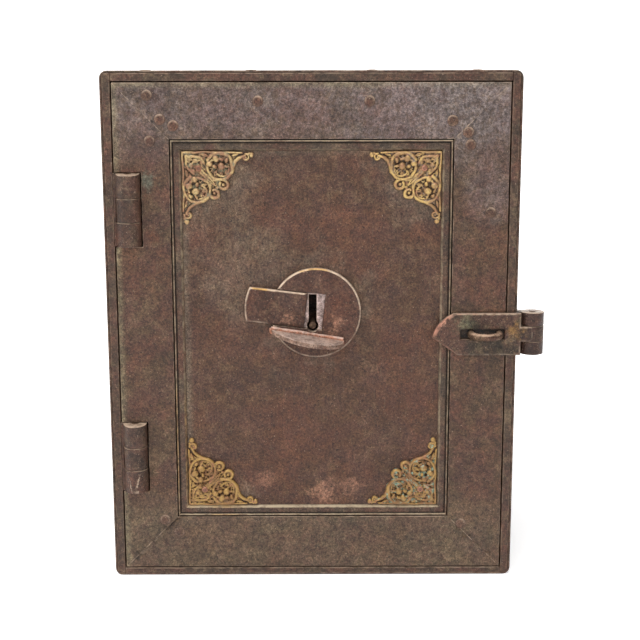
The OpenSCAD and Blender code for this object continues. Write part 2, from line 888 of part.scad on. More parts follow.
outer_shell();
back_plate();
back_rivets();
frame_bar_left();
frame_bar_right();
frame_bar_top();
frame_bar_bottom();
frame_rivets();
stop_strip_right();
stop_strip_top();
stop_strip_bottom();
upper_hinge_body_leaf();
lower_hinge_body_leaf();
hinge_leaf_rivets();
upper_hinge_pin();
lower_hinge_pin();
hasp_body_leaf();
hasp_leaf_rivets();
hasp_pin();
door_panel();
stile_left();
stile_right();
rail_top();
rail_bottom();
door_rivets();
moulding_left();
moulding_right();
moulding_top();
moulding_bottom();
corner_mount_top_left();
corner_mount_top_right();
corner_mount_bottom_left();
corner_mount_bottom_right();
corner_mount_rivets();
upper_hinge_door_leaf();
lower_hinge_door_leaf();
door_leaf_rivets();
lock_disc();
pull_fin();
lock_case();
lock_rivets();
drill_pin();
ward_ring();
bolt_spring();
bolt_guide();
padlock_staple();
keyhole_shutter();
lock_bolt();
hasp_strap();
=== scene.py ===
"""Looks of a small riveted iron strongbox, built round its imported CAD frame.

Shapes are worked out in millimetres on the frame's axes, and piece() turns them into metres."""

import json
import math

import bmesh
import bpy
import numpy as np
from mathutils import Matrix, Vector, noise
from mathutils.geometry import delaunay_2d_cdt


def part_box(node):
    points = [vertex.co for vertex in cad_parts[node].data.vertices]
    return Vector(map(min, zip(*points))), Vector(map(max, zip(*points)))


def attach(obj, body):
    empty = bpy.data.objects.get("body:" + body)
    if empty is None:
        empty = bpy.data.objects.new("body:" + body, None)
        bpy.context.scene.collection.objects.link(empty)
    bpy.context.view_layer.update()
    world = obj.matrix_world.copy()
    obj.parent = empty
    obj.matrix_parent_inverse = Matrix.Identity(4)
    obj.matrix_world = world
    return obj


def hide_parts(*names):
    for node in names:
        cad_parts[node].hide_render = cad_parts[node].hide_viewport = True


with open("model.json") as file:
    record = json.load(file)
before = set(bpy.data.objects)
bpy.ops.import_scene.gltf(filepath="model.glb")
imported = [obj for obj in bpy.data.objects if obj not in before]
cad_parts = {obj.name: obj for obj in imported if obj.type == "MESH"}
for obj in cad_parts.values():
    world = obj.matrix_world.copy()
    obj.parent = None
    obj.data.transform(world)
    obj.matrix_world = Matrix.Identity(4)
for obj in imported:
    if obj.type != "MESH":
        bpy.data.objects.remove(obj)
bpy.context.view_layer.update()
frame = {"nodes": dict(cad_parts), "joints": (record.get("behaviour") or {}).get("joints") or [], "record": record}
MM = 0.001


# ------------------------------------------------------------------ places taken from the frame


def cad(node):
    """Lowest and highest corners of a CAD node, in millimetres."""
    low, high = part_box(node)
    return np.array(low) / MM, np.array(high) / MM


def solids(node):
    """Boxes, in millimetres, of a CAD node's separate solids, such as its rivets."""
    mesh = frame["nodes"][node].data
    points = np.array([v.co for v in mesh.vertices]) / MM
    spots = {}
    spot = [spots.setdefault(tuple(np.round(p, 3)), len(spots)) for p in points]
    parent = list(range(len(spots)))

    def root(i):
        while parent[i] != i:
            parent[i] = parent[parent[i]]
            i = parent[i]
        return i

    for polygon in mesh.polygons:
        first, *others = [root(spot[i]) for i in polygon.vertices]
        for other in others:
            parent[root(other)] = root(first)
    groups = {}
    for i, p in zip(spot, points):
        groups.setdefault(root(i), []).append(p)
    boxes = [(np.min(g, 0), np.max(g, 0)) for g in groups.values()]
    return sorted(boxes, key=lambda b: tuple(np.round(b[0], 2)))


SHELL_LOW, SHELL_HIGH = cad("outer_shell")
SHELL_THICK, SHELL_CORNER = 1.5, 5.0
BACK_THICK = 2.0
FRONT = SHELL_LOW[1]
DOOR_LOW, DOOR_HIGH = cad("door_panel")
PANEL, DOOR_BACK = DOOR_LOW[1], DOOR_HIGH[1]
SUNK_X = cad("moulding_right")[1][0]
SUNK_Z0, SUNK_Z1 = cad("moulding_bottom")[0][2], cad("moulding_top")[1][2]
MOULD_W = SUNK_Z1 - cad("moulding_top")[0][2]
INNER_X, INNER_Z0, INNER_Z1 = SUNK_X - MOULD_W, SUNK_Z0 + MOULD_W, SUNK_Z1 - MOULD_W
HINGES = {name: [sum(b) / 2 for b in zip(*cad(f"{name}_hinge_body_leaf"))] for name in ("upper", "lower")}
HINGE_LEN = np.ptp([b[2] for b in cad("upper_hinge_body_leaf")])
HINGE_X = sum(b[0] for b in cad("upper_hinge_pin")) / 2
BARREL_R = FRONT - cad("upper_hinge_body_leaf")[0][1]
PIN_R = np.ptp([b[0] for b in cad("upper_hinge_pin")]) / 2
NOTCH_GAP = 0.8                    # between a hinge barrel and the door beside it
NOTCH_END = 0.6                    # and above and below it
KNUCKLE_GAP = 0.3
PIN_PLAY = 0.05                    # between a pin and the knuckle that turns on it
CAP_SLOPE = 0.14                   # forward slope of a hinge barrel's upper end
DISC_LOW, DISC_HIGH = cad("lock_disc")
DISC_X, DISC_Z = (DISC_LOW[0] + DISC_HIGH[0]) / 2, (DISC_LOW[2] + DISC_HIGH[2]) / 2
DISC_R = (DISC_HIGH[2] - DISC_LOW[2]) / 2
DISC_FRONT = DISC_LOW[1]
KEY_X = sum(b[0] for b in cad("drill_pin")) / 2
KEY_Z = sum(b[2] for b in cad("drill_pin")) / 2
KEYHOLE_R, KEYHOLE_HALF = 4.0, 2.7  # its round hole, and half the width of the slot above it
KEYHOLE_TOP = 202.0
STAPLE_LOW, STAPLE_HIGH = cad("padlock_staple")
STAPLE_X = (STAPLE_LOW[0] + STAPLE_HIGH[0]) / 2
STRAP_LOW, STRAP_HIGH = cad("hasp_strap")
HASP_Z = (STRAP_LOW[2] + STRAP_HIGH[2]) / 2
HASP_X = STRAP_HIGH[0] - BARREL_R
HASP_Y = STRAP_LOW[1] + BARREL_R
HASP_PIN_R = np.ptp([b[0] for b in cad("hasp_pin")]) / 2
TONGUE_HALF = 5.2                  # half the height of the strap's knuckle


# ------------------------------------------------------------------ shapes


class Shape:
    """Closed solids in millimetres, with an edge mark at each vertex: above 0 for pale rubbed edges, below 0 for
    dirt and painted shade, and on the brass mounts their painted relief shade.
    """

    def __init__(self):
        self.points, self.faces, self.wear, self.count = [], [], [], 0

    def add(self, solid, place=None):
        points, faces, wear = solid
        points = np.asarray(points, float)
        if place is not None:
            turn = np.array(place)
            points = points @ turn[:3, :3].T + turn[:3, 3]
        self.faces += [[i + self.count for i in face] for face in faces]
        self.points.append(points)
        self.wear.append(np.asarray(wear, float))
        self.count += len(points)
        return self


def piece(name, shape, body, slot, *nodes, look=None, sharp=38):
    """Makes one piece of the object, hangs it on the empty of the body it rides on, and hides the CAD nodes it
    stands for.

    It looks like its material slot, unless it has a look of its own."""
    mesh = bpy.data.meshes.new(name)
    mesh.from_pydata((np.vstack(shape.points) * MM).tolist(), [], shape.faces)
    wear = mesh.attributes.new("wear", "FLOAT", "POINT")
    wear.data.foreach_set("value", np.concatenate(shape.wear).astype(np.float32))
    work = bmesh.new()
    work.from_mesh(mesh)
    bmesh.ops.recalc_face_normals(work, faces=work.faces)
    work.to_mesh(mesh)
    work.free()
    mesh.shade_smooth()
    mesh.set_sharp_from_angle(angle=math.radians(sharp))
    mesh.materials.append(look or MAT[slot])
    made = bpy.data.objects.new(name, mesh)
    bpy.context.scene.collection.objects.link(made)
    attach(made, body)
    if nodes:
        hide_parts(*nodes)


def rumple(points, size, seed):
    """Smooth noise from about -1 to 1, with features of about that size, at each 3-D or 2-D point."""
    spots = np.zeros((len(points), 3))
    spots[:, : np.shape(points)[1]] = points
    return np.array([noise.noise(Vector(p / size) + Vector((seed, 3.1 * seed, 7.7))) for p in spots])


def arc(x, y, r, start, end, n):
    """Points along an arc, between two angles in degrees."""
    angles = np.radians(np.linspace(start, end, n))
    return np.stack([x + r * np.cos(angles), y + r * np.sin(angles)], 1)


def rectangle(x0, y0, x1, y1):
    return np.array([(x0, y0), (x1, y0), (x1, y1), (x0, y1)], float)


def round_rectangle(x0, y0, x1, y1, r):
    middles = [(x1 - r, y0 + r, -90), (x1 - r, y1 - r, 0), (x0 + r, y1 - r, 90), (x0 + r, y0 + r, 180)]
    return np.vstack([arc(x, y, r, start, start + 90, 6) for x, y, start in middles])


def refine(loop, step):
    """The same closed loop, with no side longer than step."""
    parts = []
    for a, b in zip(loop, np.roll(loop, -1, 0)):
        n = max(1, math.ceil(np.linalg.norm(b - a) / step))
        parts.append(a + (b - a) * np.arange(n)[:, None] / n)
    return np.vstack(parts)


def inset(loop, depth):
    """The loop moved to its left by depth: inwards for one that runs anticlockwise."""
    before, after = loop - np.roll(loop, 1, 0), np.roll(loop, -1, 0) - loop
    normals = [np.stack([-d[:, 1], d[:, 0]], 1) for d in (before, after)]
    sides = [d / np.linalg.norm(d, axis=1)[:, None] for d in normals]
    spread = np.maximum(1 + (sides[0] * sides[1]).sum(1), 0.25)
    return loop + depth * (sides[0] + sides[1]) / spread[:, None]


def inside(points, loop):
    x, y = points[:, :1], points[:, 1:]
    x1, y1 = loop.T
    x2, y2 = np.roll(loop, -1, 0).T
    with np.errstate(divide="ignore", invalid="ignore"):
        crossed = ((y1 > y) != (y2 > y)) & (x < (x2 - x1) * (y - y1) / (y2 - y1) + x1)
    return crossed.sum(1) % 2 == 1


def distance(points, loop, closed=True):
    """Distance of each point from a line through the loop's points, and the nearest place along it."""
    starts = loop if closed else loop[:-1]
    sides = (np.roll(loop, -1, 0) if closed else loop[1:]) - starts
    best, where = np.full(len(points), 1e9), np.zeros(len(points))
    for i, (start, side) in enumerate(zip(starts, sides)):
        along = np.clip((points - start) @ side / max(side @ side, 1e-12), 0, 1)
        found = np.linalg.norm(points - start - along[:, None] * side, axis=1)
        nearer = found < best
        best[nearer], where[nearer] = found[nearer], (i + along[nearer]) / len(sides)
    return best, where


def fill(loops, cell=None):
    """Triangles that fill the first loop outside the others, with inner points about one cell apart."""
    points, edges = np.vstack(loops), []
    for loop in loops:
        start = len(edges)
        edges += [(start + i, start + (i + 1) % len(loop)) for i in range(len(loop))]
    if cell:
        low, high = loops[0].min(0), loops[0].max(0)
        columns, rows = np.arange(low[0], high[0], cell), np.arange(low[1], high[1], cell)
        grid = np.stack(np.meshgrid(columns, rows), -1)
        grid[1::2, :, 0] += cell / 2
        grid = grid.reshape(-1, 2)
        grid = grid[inside(grid, loops[0])]
        for loop in loops[1:]:
            grid = grid[~inside(grid, loop)]
        for loop in loops:
            grid = grid[distance(grid, loop)[0] > 0.45 * cell]
        points = np.vstack([points, grid])
    found = delaunay_2d_cdt([Vector(p) for p in points], edges, [], 0, 1e-7)
    source = [origin[0] for origin in found[3]]
    triangles = np.array([[source[i] for i in face] for face in found[2]])
    middles = points[triangles].mean(1)
    keep = inside(middles, loops[0])
    for loop in loops[1:]:
        keep &= ~inside(middles, loop)
    return points, triangles[keep].tolist()


def slab(outline, low, high, holes=(), top=0.4, under=0.0, cell=4.0, band=1.0, bumps=0.1, size=22.0,
         seed=0.0):
    """A flat plate over the XY plane, with rounded, worn upper edges and a slightly uneven top.

    The outline runs anticlockwise and the holes clockwise. Wear reaches in from the edge by band."""
    loops = [refine(np.asarray(loop, float), cell) for loop in (outline, *holes)]
    # The sides are darkened towards their foot: dirt and painted shade.
    steps = [(0.0, low, 0.0), (0.0, low + 0.2 * (high - low), -0.7)]
    if under:
        steps = [(under, low, 0.2), (0.3 * under, low + 0.3 * under, 0.5), (0.0, low + under, 0.2)]
    steps += [(0.0, high - top, 0.2), (0.29 * top, high - 0.29 * top, 1.0), (top, high, 0.9)]
    if band:
        steps.append((top + band, high, 0.0))
    points, wear, faces, rings = [], [], [], []
    for depth, height, worn_and_shaded in steps:
        ring = []
        for loop in loops:
            moved = inset(loop, depth)
            ring.append(len(wear))
            points.append(np.column_stack([moved, np.full(len(moved), height)]))
            wear += [worn_and_shaded] * len(moved)
        rings.append(ring)
    for lower, upper in zip(rings, rings[1:]):
        for a, b, loop in zip(lower, upper, loops):
            n = len(loop)
            faces += [(a + i, a + (i + 1) % n, b + (i + 1) % n, b + i) for i in range(n)]
    for level, (depth, height, _) in ((0, steps[0]), (len(steps) - 1, steps[-1])):
        flat, triangles = fill([inset(loop, depth) for loop in loops], cell if level else None)
        extra = flat[sum(map(len, loops)) :]
        index = [rings[level][k] + i for k, loop in enumerate(loops) for i in range(len(loop))]
        index += range(len(wear), len(wear) + len(extra))
        points.append(np.column_stack([extra, np.full(len(extra), height)]))
        wear += [0.0] * len(extra)
        faces += [[index[i] for i in triangle] for triangle in triangles]
    points = np.vstack(points)
    if bumps:
        upper = points[:, 2] > high - 1e-6
        points[upper, 2] += bumps * rumple(points[upper, :2], size, seed)
    return points, faces, wear


def block(low, high, **how):
    """A bar or block between two corners, with rounded edges on the side that faces forwards."""
    outline = rectangle(low[0], low[2], high[0], high[2])
    return slab(outline, 0.0, high[1] - low[1], **how), facing(high[1])


def facing(y, back=False):
    """Stands a slab up so that its top faces forwards, or backwards, and its underside lies at y."""
    return Matrix(((1, 0, 0, 0), (0, 0, 1 if back else -1, y), (0, 1, 0, 0), (0, 0, 0, 1)))


def towards(way):
    """Turns +Z to another direction."""
    return Vector((0, 0, 1)).rotation_difference(Vector(way)).to_matrix().to_4x4()


def turned(profile, segments=48, closed=False, dent=0.0, seed=0.0):
    """A profile of (radius, height, edge mark) turned round Z. A radius of 0 closes an end."""
    points, wear, rings, faces = [], [], [], []
    angles = np.linspace(0, 2 * math.pi, segments, endpoint=False)
    for r, height, worn_and_shaded in profile:
        rings.append(list(range(len(points), len(points) + (segments if r else 1))))
        for angle in angles if r else [0.0]:
            c, s = math.cos(angle), math.sin(angle)
            grown = r + dent * noise.noise(Vector((2 * c, 2 * s, height / 5 + seed))) if r else 0.0
            points.append((grown * c, grown * s, height))
            wear.append(worn_and_shaded)
    pairs = list(zip(rings, rings[1:])) + ([(rings[-1], rings[0])] if closed else [])
    for a, b in pairs:
        for i in range(segments):
            j = (i + 1) % segments
            if len(a) == 1:
                faces.append((a[0], b[j], b[i]))
            elif len(b) == 1:
                faces.append((a[i], a[j], b[0]))
            else:
                faces.append((a[i], a[j], b[j], b[i]))
    return points, faces, wear


def ring(r_in, r_out, z0, z1, edge=0.5, steps=8, **how):
    """A short tube round Z with rounded outer edges."""
    side = [(r_out, z, 0.0) for z in np.linspace(z0 + edge, z1 - edge, steps)]
    lower = [(r_in, z0, 0.1), (r_out - edge, z0, 0.6), (r_out - 0.3 * edge, z0 + 0.3 * edge, 0.9)]
    upper = [(r_out - 0.3 * edge, z1 - 0.3 * edge, 0.9), (r_out - edge, z1, 0.6), (r_in, z1, 0.1)]
    return turned(lower + side + upper, closed=True, **how)


def grid_faces(rows, columns, wrap_rows=False):
    """Quads over a tube of vertices that is numbered row by row, each row a closed ring."""
    return [
        (r * columns + c, r * columns + (c + 1) % columns,
         (r + 1) % rows * columns + (c + 1) % columns, (r + 1) % rows * columns + c)
        for r in range(rows if wrap_rows else rows - 1)
        for c in range(columns)
    ]


def wrapped(loop, thick, y0, y1, cell=7.0, bumps=0.0, seed=0.0):
    """A sheet of some thickness that follows a closed loop in XZ, from y0 back to y1.

    Its rims are rounded, and its bumps fade out towards both of them."""
    rim, fade = 0.45, 20.0
    loop = refine(loop, cell)
    inwards = inset(loop, 1.0) - loop
    along = np.linspace(y0 + rim, y1 - rim, max(2, round((y1 - y0) / cell)))
    tiny = 0.3 * rim
    back = [(tiny, y1 - tiny, 1.0), (rim, y1, 0.8), (thick - rim, y1, 0.8), (thick, y1 - rim, 0.4)]
    front = [(thick, y0 + rim, 0.4), (thick - rim, y0, 0.8), (rim, y0, 0.8), (tiny, y0 + tiny, 1.0)]
    inner = [(thick, y, 0.0) for y in along[::-1][1:-1:2]]
    section = [(0.0, y, 0.0) for y in along] + back + inner + front
    points, wear = [], []
    for depth, y, worn_and_shaded in section:
        calmed = min(1.0, max(0.0, min(y - y0, y1 - y) - fade / 3) / fade)
        places = np.column_stack([loop[:, 0], np.full(len(loop), y), loop[:, 1]])
        pushed = bumps * calmed * rumple(places, 60, seed) if bumps * calmed else np.zeros(len(loop))
        flat = loop + inwards * (depth - pushed)[:, None]
        points.append(np.column_stack([flat[:, 0], np.full(len(loop), y), flat[:, 1]]))
        wear += [worn_and_shaded] * len(loop)
    return np.vstack(points), grid_faces(len(section), len(loop), wrap_rows=True), wear


def mitred(section, half, seed=0.0):
    """A strip of moulding along X, mitred at both ends, inwards along -Y, and its front along +Z.

    section holds (distance inwards, height, edge mark) points from the outer edge to the inner one."""
    step, wave = 3.0, 0.08
    stations = np.linspace(-1, 1, max(2, round(2 * half / step)))
    line = np.column_stack([stations * half, stations * 0])
    shift, lift = wave * rumple(line, 14, seed), wave * rumple(line, 9, seed + 5)
    points, wear = [], []
    for t, aside, up in zip(stations, shift, lift):
        for depth, height, worn_and_shaded in section:
            loose = height > 0.2
            points.append((t * (half - depth), -depth - loose * aside, height + loose * up))
            wear.append(worn_and_shaded)
    n = len(section)
    faces = grid_faces(len(stations), n)
    faces += [list(range(n)), list(range(len(points) - n, len(points)))[::-1]]
    return points, faces, wear


def rod(path, r, worn_and_shaded=0.0, dent=0.0, seed=0.0):
    """A round rod along a path that stays at one height."""
    segments = 24
    path, side = np.asarray(path, float), np.array((0.0, 0.0, 1.0))
    ahead = np.gradient(path, axis=0)
    ahead /= np.linalg.norm(ahead, axis=1)[:, None]
    angles = np.linspace(0, 2 * math.pi, segments, endpoint=False)
    points = []
    for i, (p, t) in enumerate(zip(path, ahead)):
        grown = r + dent * noise.noise(Vector((i * 0.35, seed, 0)))
        around = np.outer(np.cos(angles), side) + np.outer(np.sin(angles), np.cross(t, side))
        points.append(p + grown * around)
    faces = grid_faces(len(path), segments)
    faces += [list(range(segments)), list(range((len(path) - 1) * segments, len(path) * segments))[::-1]]
    return np.vstack(points), faces, [worn_and_shaded] * (len(path) * segments)


def rivet_head(r, rise, seed=0.0):
    """A hammered rivet head that stands on the XY plane, with a thin dark line of dirt and painted shade round its
    foot.
    """
    shares = [(0.0, -0.35, -1.0), (1.0, -0.35, -1.0), (1.0, 0.1, -0.9), (0.94, 0.4, 0.7),
              (0.78, 0.74, 0.8), (0.5, 0.94, 0.3), (0.25, 1.0, 0.1), (0.0, 1.0, 0.3)]
    return turned([(r * a, rise * b, w) for a, b, w in shares], segments=28, dent=0.05 * r, seed=seed)


def rivets(node, faces_along, r=None, rise=0.6):
    """A head on each rivet of a CAD node, on the side that faces_along points to."""
    axis = int(np.argmax(np.abs(faces_along)))
    sign = np.sign(faces_along[axis])
    heads = []
    for i, (low, high) in enumerate(solids(node)):
        middle = (low + high) / 2
        if sign * middle[axis] < 0:
            continue
        middle[axis] = (high if sign > 0 else low)[axis]
        across = [k for k in range(3) if k != axis]
        radius = r or np.max(np.array(high - low)[across]) / 2
        place = Matrix.Translation(middle) @ towards(faces_along)
        heads.append((rivet_head(radius, rise, seed=i * 1.7), place))
    return heads


# ------------------------------------------------------------------ materials


def colour(r, g, b):
    """A linear colour from display values of 0 to 255."""
    share = [c / 255 for c in (r, g, b)]
    return [c / 12.92 if c <= 0.04045 else ((c + 0.055) / 1.055) ** 2.4 for c in share] + [1.0]


def node(tree, kind, inputs=None, **settings):
    """A shader node with its settings, its values and its links."""
    made = tree.nodes.new(kind)
    for key, value in settings.items():
        setattr(made, key, value)
    for key, value in (inputs or {}).items():
        if isinstance(value, bpy.types.NodeSocket):
            tree.links.new(value, made.inputs[key])
        else:
            made.inputs[key].default_value = value
    return made


def new_material(name):
    """A material with its node tree and its main shader."""
    made = bpy.data.materials.new(name)
    made.use_nodes = True
    return made, made.node_tree, made.node_tree.nodes["Principled BSDF"]


def cloud(tree, size, detail=4.0, rough=0.6, stretch=(1, 1, 1), shift=0.0):
    """Noise with features about size millimetres across, longer where stretch is above 1."""
    scale = [1 / (size * MM * s) for s in stretch]
    place = node(tree, "ShaderNodeTexCoord").outputs["Object"]
    moved = node(tree, "ShaderNodeMapping", {"Vector": place, "Location": (shift,) * 3, "Scale": scale})
    inputs = {"Vector": moved.outputs[0], "Scale": 1.0, "Detail": detail, "Roughness": rough}
    return node(tree, "ShaderNodeTexNoise", inputs).outputs["Fac"]


def remap(tree, value, start, end, low=0.0, high=1.0):
    """Maps start to low and end to high, smoothly, and holds the value outside them."""
    inputs = {"Value": value, "From Min": start, "From Max": end, "To Min": low, "To Max": high}
    return node(tree, "ShaderNodeMapRange", inputs, interpolation_type="SMOOTHSTEP").outputs["Result"]


def times(tree, a, b):
    return node(tree, "ShaderNodeMath", {0: a, 1: b}, operation="MULTIPLY").outputs[0]


def plus(tree, a, b):
    return node(tree, "ShaderNodeMath", {0: a, 1: b}, operation="ADD").outputs[0]


def mix(tree, share, a, b, blend="MIX"):
    inputs = {0: share, 6: a, 7: b}
    return node(tree, "ShaderNodeMix", inputs, data_type="RGBA", blend_type=blend).outputs[2]


def spot(tree, centre, radius):
    """1 near a point, in millimetres, and 0 beyond the radius, with a ragged edge."""
    place = node(tree, "ShaderNodeTexCoord").outputs["Object"]
    point = [c * MM for c in centre]
    apart = node(tree, "ShaderNodeVectorMath", {0: place, 1: point}, operation="DISTANCE").outputs["Value"]
    ragged = remap(tree, cloud(tree, radius * 0.5, 3), 0.3, 0.7, 0.6, 1.4)
    return remap(tree, times(tree, apart, ragged), radius * MM, 0.4 * radius * MM)


def side_share(tree, axis, start, end):
    """0 to 1 between two places, in millimetres, along an axis."""
    place = node(tree, "ShaderNodeTexCoord").outputs["Object"]
    split = node(tree, "ShaderNodeSeparateXYZ", {"Vector": place})
    return remap(tree, split.outputs[axis], start * MM, end * MM)


WARMTH = (0.98, 0.9, 0.78)         # red, green and blue shares of every iron surface
IRON_BASE = colour(75, 58, 47)
IRON_RUST = colour(92, 56, 44)
IRON_DUST = colour(102, 91, 75)
IRON_PALE = colour(182, 158, 136)


def grime(tree, base, rust, dust, rusty, dusty, patches, mottle, broken, seed):
    """Brown metal with plum clouds, broken patches of rust, and dust where there is less rust."""
    plum = remap(tree, cloud(tree, 15, 5, 0.65, shift=seed + 2), 0.42, 0.6)
    rust_share = times(tree, times(tree, remap(tree, patches, 0.44, 0.62), broken), rusty)
    tone = mix(tree, rust_share, mix(tree, plum, base, PLUM), rust)
    dusted = times(tree, remap(tree, mottle, 0.48, 0.66), remap(tree, patches, 0.58, 0.4, 0.25, 1.0))
    return mix(tree, times(tree, dusted, dusty), tone, dust)


def tinted(tree, tone, sides, spots, allowed):
    """The tone with tints towards some sides and round some spots, as far as allowed."""
    shares = [(side_share(tree, *side[:-2]), *side[-2:]) for side in sides]
    shares += [(spot(tree, *place[:-2]), *place[-2:]) for place in spots]
    for reach, tint, share in shares:
        tone = mix(tree, times(tree, times(tree, reach, allowed), share), tone, tint)
    return tone


def iron_light(tree, mottle, fine, tiny, seed):
    """How light the metal is from place to place, as red, green and blue shares."""
    broad = cloud(tree, 22, 4, 0.6, shift=seed + 6)
    light = remap(tree, mottle, 0.32, 0.68, 0.76, 1.26)
    for value, start, low in ((broad, 0.35, 0.88), (fine, 0.34, 0.5), (tiny, 0.34, 0.65)):
        light = times(tree, light, remap(tree, value, start, 1 - start, low, 2 - low))
    channels = {i: times(tree, light, share) for i, share in enumerate(WARMTH)}
    return node(tree, "ShaderNodeCombineColor", channels).outputs[0]


def rubbed_and_top_lit_edges(tree, wear, facing_up, worn_and_shaded, patchy, seed):
    """How far the edges turn pale: rubbed in patches, and paler where they look up, which is painted top light."""
    uneven = cloud(tree, 4.5, 4, 0.65, shift=seed + 30)
    edge = times(tree, wear, remap(tree, uneven, 0.36, 0.62, patchy, 1.0))
    edge = times(tree, edge, remap(tree, facing_up, -0.25, 0.55, 0.35, 1.0))
    return times(tree, remap(tree, edge, 0.08, 0.75), worn_and_shaded)


def iron(name, base=IRON_BASE, rust=IRON_RUST, dust=IRON_DUST, pale=IRON_PALE, rusty=0.5, dusty=0.5,
         worn_and_shaded=0.4, rough=0.46, metal=0.1, patchy=0.1, dust_and_top_light=0.5, seed=0.0, spots=(), sides=(),
         rubbed=(), front_only=False):
    """Old iron: brown with rust and dust in patches, fine pits and pale rubbed edges; faces that look up are paler
    with dust and painted top light, and dirt with painted shade darkens where the edge mark is below 0.

    spots are (centre, radius, colour, share), and rubbed spots tint the pale edges only.
    sides are (axis, start, end, colour, share). front_only keeps both off faces that look backwards."""
    made, tree, shader = new_material(name)
    shader.inputs["Specular IOR Level"].default_value = 0.35
    shader.inputs["Metallic"].default_value = metal
    patches = cloud(tree, 38, 6, 0.62, shift=seed)
    mottle = cloud(tree, 7, 6, 0.7, shift=seed + 4)
    fine = cloud(tree, 1.7, 6, 0.75, shift=seed + 8)
    tiny = cloud(tree, 0.6, 3, 0.6, shift=seed + 9)
    broken = remap(tree, cloud(tree, 3.2, 4, 0.7, shift=seed + 15), 0.38, 0.6, 0.35, 1.0)
    normal = node(tree, "ShaderNodeSeparateXYZ", {0: node(tree, "ShaderNodeTexCoord").outputs["Normal"]})
    allowed = times(tree, broken, remap(tree, normal.outputs[1], 0.3, 0.0)) if front_only else broken
    facing_up = normal.outputs[2]
    wear = node(tree, "ShaderNodeAttribute", attribute_name="wear").outputs["Fac"]

    tone = grime(tree, base, rust, dust, rusty, dusty, patches, mottle, broken, seed)
    tone = tinted(tree, tone, sides, spots, allowed)
    tone = mix(tree, 1.0, tone, iron_light(tree, mottle, fine, tiny, seed), "MULTIPLY")
    scratches = cloud(tree, 1.1, 3, 0.6, stretch=(1, 1, 14), shift=seed + 12)
    tone = mix(tree, remap(tree, scratches, 0.64, 0.72, 0.0, 0.3), tone, dust)
    # Sparse pale specks: dust grains and painted glints.
    specks_and_glints = cloud(tree, 1.0, 2, 0.5, shift=seed + 17)
    tone = mix(tree, remap(tree, specks_and_glints, 0.66, 0.72, 0.0, 0.5), tone, pale)
    pits = cloud(tree, 2.2, 2, 0.5, shift=seed + 20)
    tone = mix(tree, remap(tree, pits, 0.34, 0.27, 0.0, 0.7), tone, DIRT_AND_SHADE)
    # Faces that look up turn pale: settled dust and painted top light.
    tone = mix(tree, times(tree, remap(tree, facing_up, 0.35, 0.9, 0.0, dust_and_top_light), broken), tone, pale)
    # Where the edge mark is below 0 the iron darkens: dirt and painted shade in grooves and at feet.
    tone = mix(tree, remap(tree, wear, 0.0, -1.0), tone, DIRT_AND_SHADE)
    bright = pale
    for centre, radius, tint, share in rubbed:
        bright = mix(tree, times(tree, spot(tree, centre, radius), share), bright, tint)
    # Pale rubbed edges, paler where they look up as painted top light.
    tone = mix(tree, rubbed_and_top_lit_edges(tree, wear, facing_up, worn_and_shaded, patchy, seed), tone, bright)
    tree.links.new(tone, shader.inputs["Base Color"])

    gloss = remap(tree, mottle, 0.35, 0.65, rough - 0.1, rough + 0.14)
    tree.links.new(gloss, shader.inputs["Roughness"])
    waves = node(tree, "ShaderNodeBump", {"Strength": 0.9, "Distance": 1.2 * MM, "Height": mottle})
    height = plus(tree, times(tree, fine, 0.7), times(tree, tiny, 0.3))
    inputs = {"Strength": 0.95, "Distance": 0.5 * MM, "Height": height, "Normal": waves.outputs[0]}
    tree.links.new(node(tree, "ShaderNodeBump", inputs).outputs[0], shader.inputs["Normal"])
    return made


def brass(name, bright, dull, hollow, patina, patinated=0.0, seed=0.0):
    """Old gilt brass: bright on the relief's tops and brown in its hollows, as rubbed gilding and patina with
    painted highlight and shade, and with patches of patina.
    """
    made, tree, shader = new_material(name)
    # Its edge mark holds the relief's painted shade: low in hollows, high on tops.
    top = node(tree, "ShaderNodeAttribute", attribute_name="wear").outputs["Fac"]
    fine = cloud(tree, 1.1, 3, 0.65, shift=seed + 3)
    uneven = plus(tree, top, remap(tree, fine, 0.25, 0.75, -0.22, 0.22))
    tone = mix(tree, remap(tree, cloud(tree, 8, 4, 0.6, shift=seed), 0.42, 0.6), bright, dull)
    # Hollows take the dark colour and tops the bright one: patina and rubbed gilding with painted shade and
    # highlight.
    tone = mix(tree, remap(tree, uneven, 0.1, 0.8), hollow, tone)
    green = times(tree, remap(tree, cloud(tree, 4, 4, 0.7, shift=seed + 6), 0.5, 0.62), patinated)
    tone = mix(tree, times(tree, green, remap(tree, uneven, 0.85, 0.3)), tone, patina)
    flushed = remap(tree, cloud(tree, 2.4, 3, 0.6, shift=seed + 9), 0.56, 0.66, 0.0, 0.5)
    tone = mix(tree, flushed, tone, ROSY)
    tree.links.new(tone, shader.inputs["Base Color"])
    tree.links.new(remap(tree, fine, 0.3, 0.7, 0.36, 0.62), shader.inputs["Roughness"])
    shader.inputs["Metallic"].default_value = 0.45
    inputs = {"Strength": 0.7, "Distance": 0.25 * MM, "Height": fine}
    tree.links.new(node(tree, "ShaderNodeBump", inputs).outputs[0], shader.inputs["Normal"])
    return made


def white_floor():
    """White paper that glows a little more towards the far wall."""
    made, tree, shader = new_material("studio_white")
    shader.inputs["Base Color"].default_value = (0.9, 0.9, 0.9, 1)
    shader.inputs["Roughness"].default_value = 0.9
    shader.inputs["Emission Color"].default_value = (1, 1, 1, 1)
    place = node(tree, "ShaderNodeTexCoord").outputs["Object"]
    far = node(tree, "ShaderNodeSeparateXYZ", {"Vector": place}).outputs["Y"]
    tree.links.new(remap(tree, far, 0.1, 1.2, 0.4, 0.9), shader.inputs["Emission Strength"])
    return made


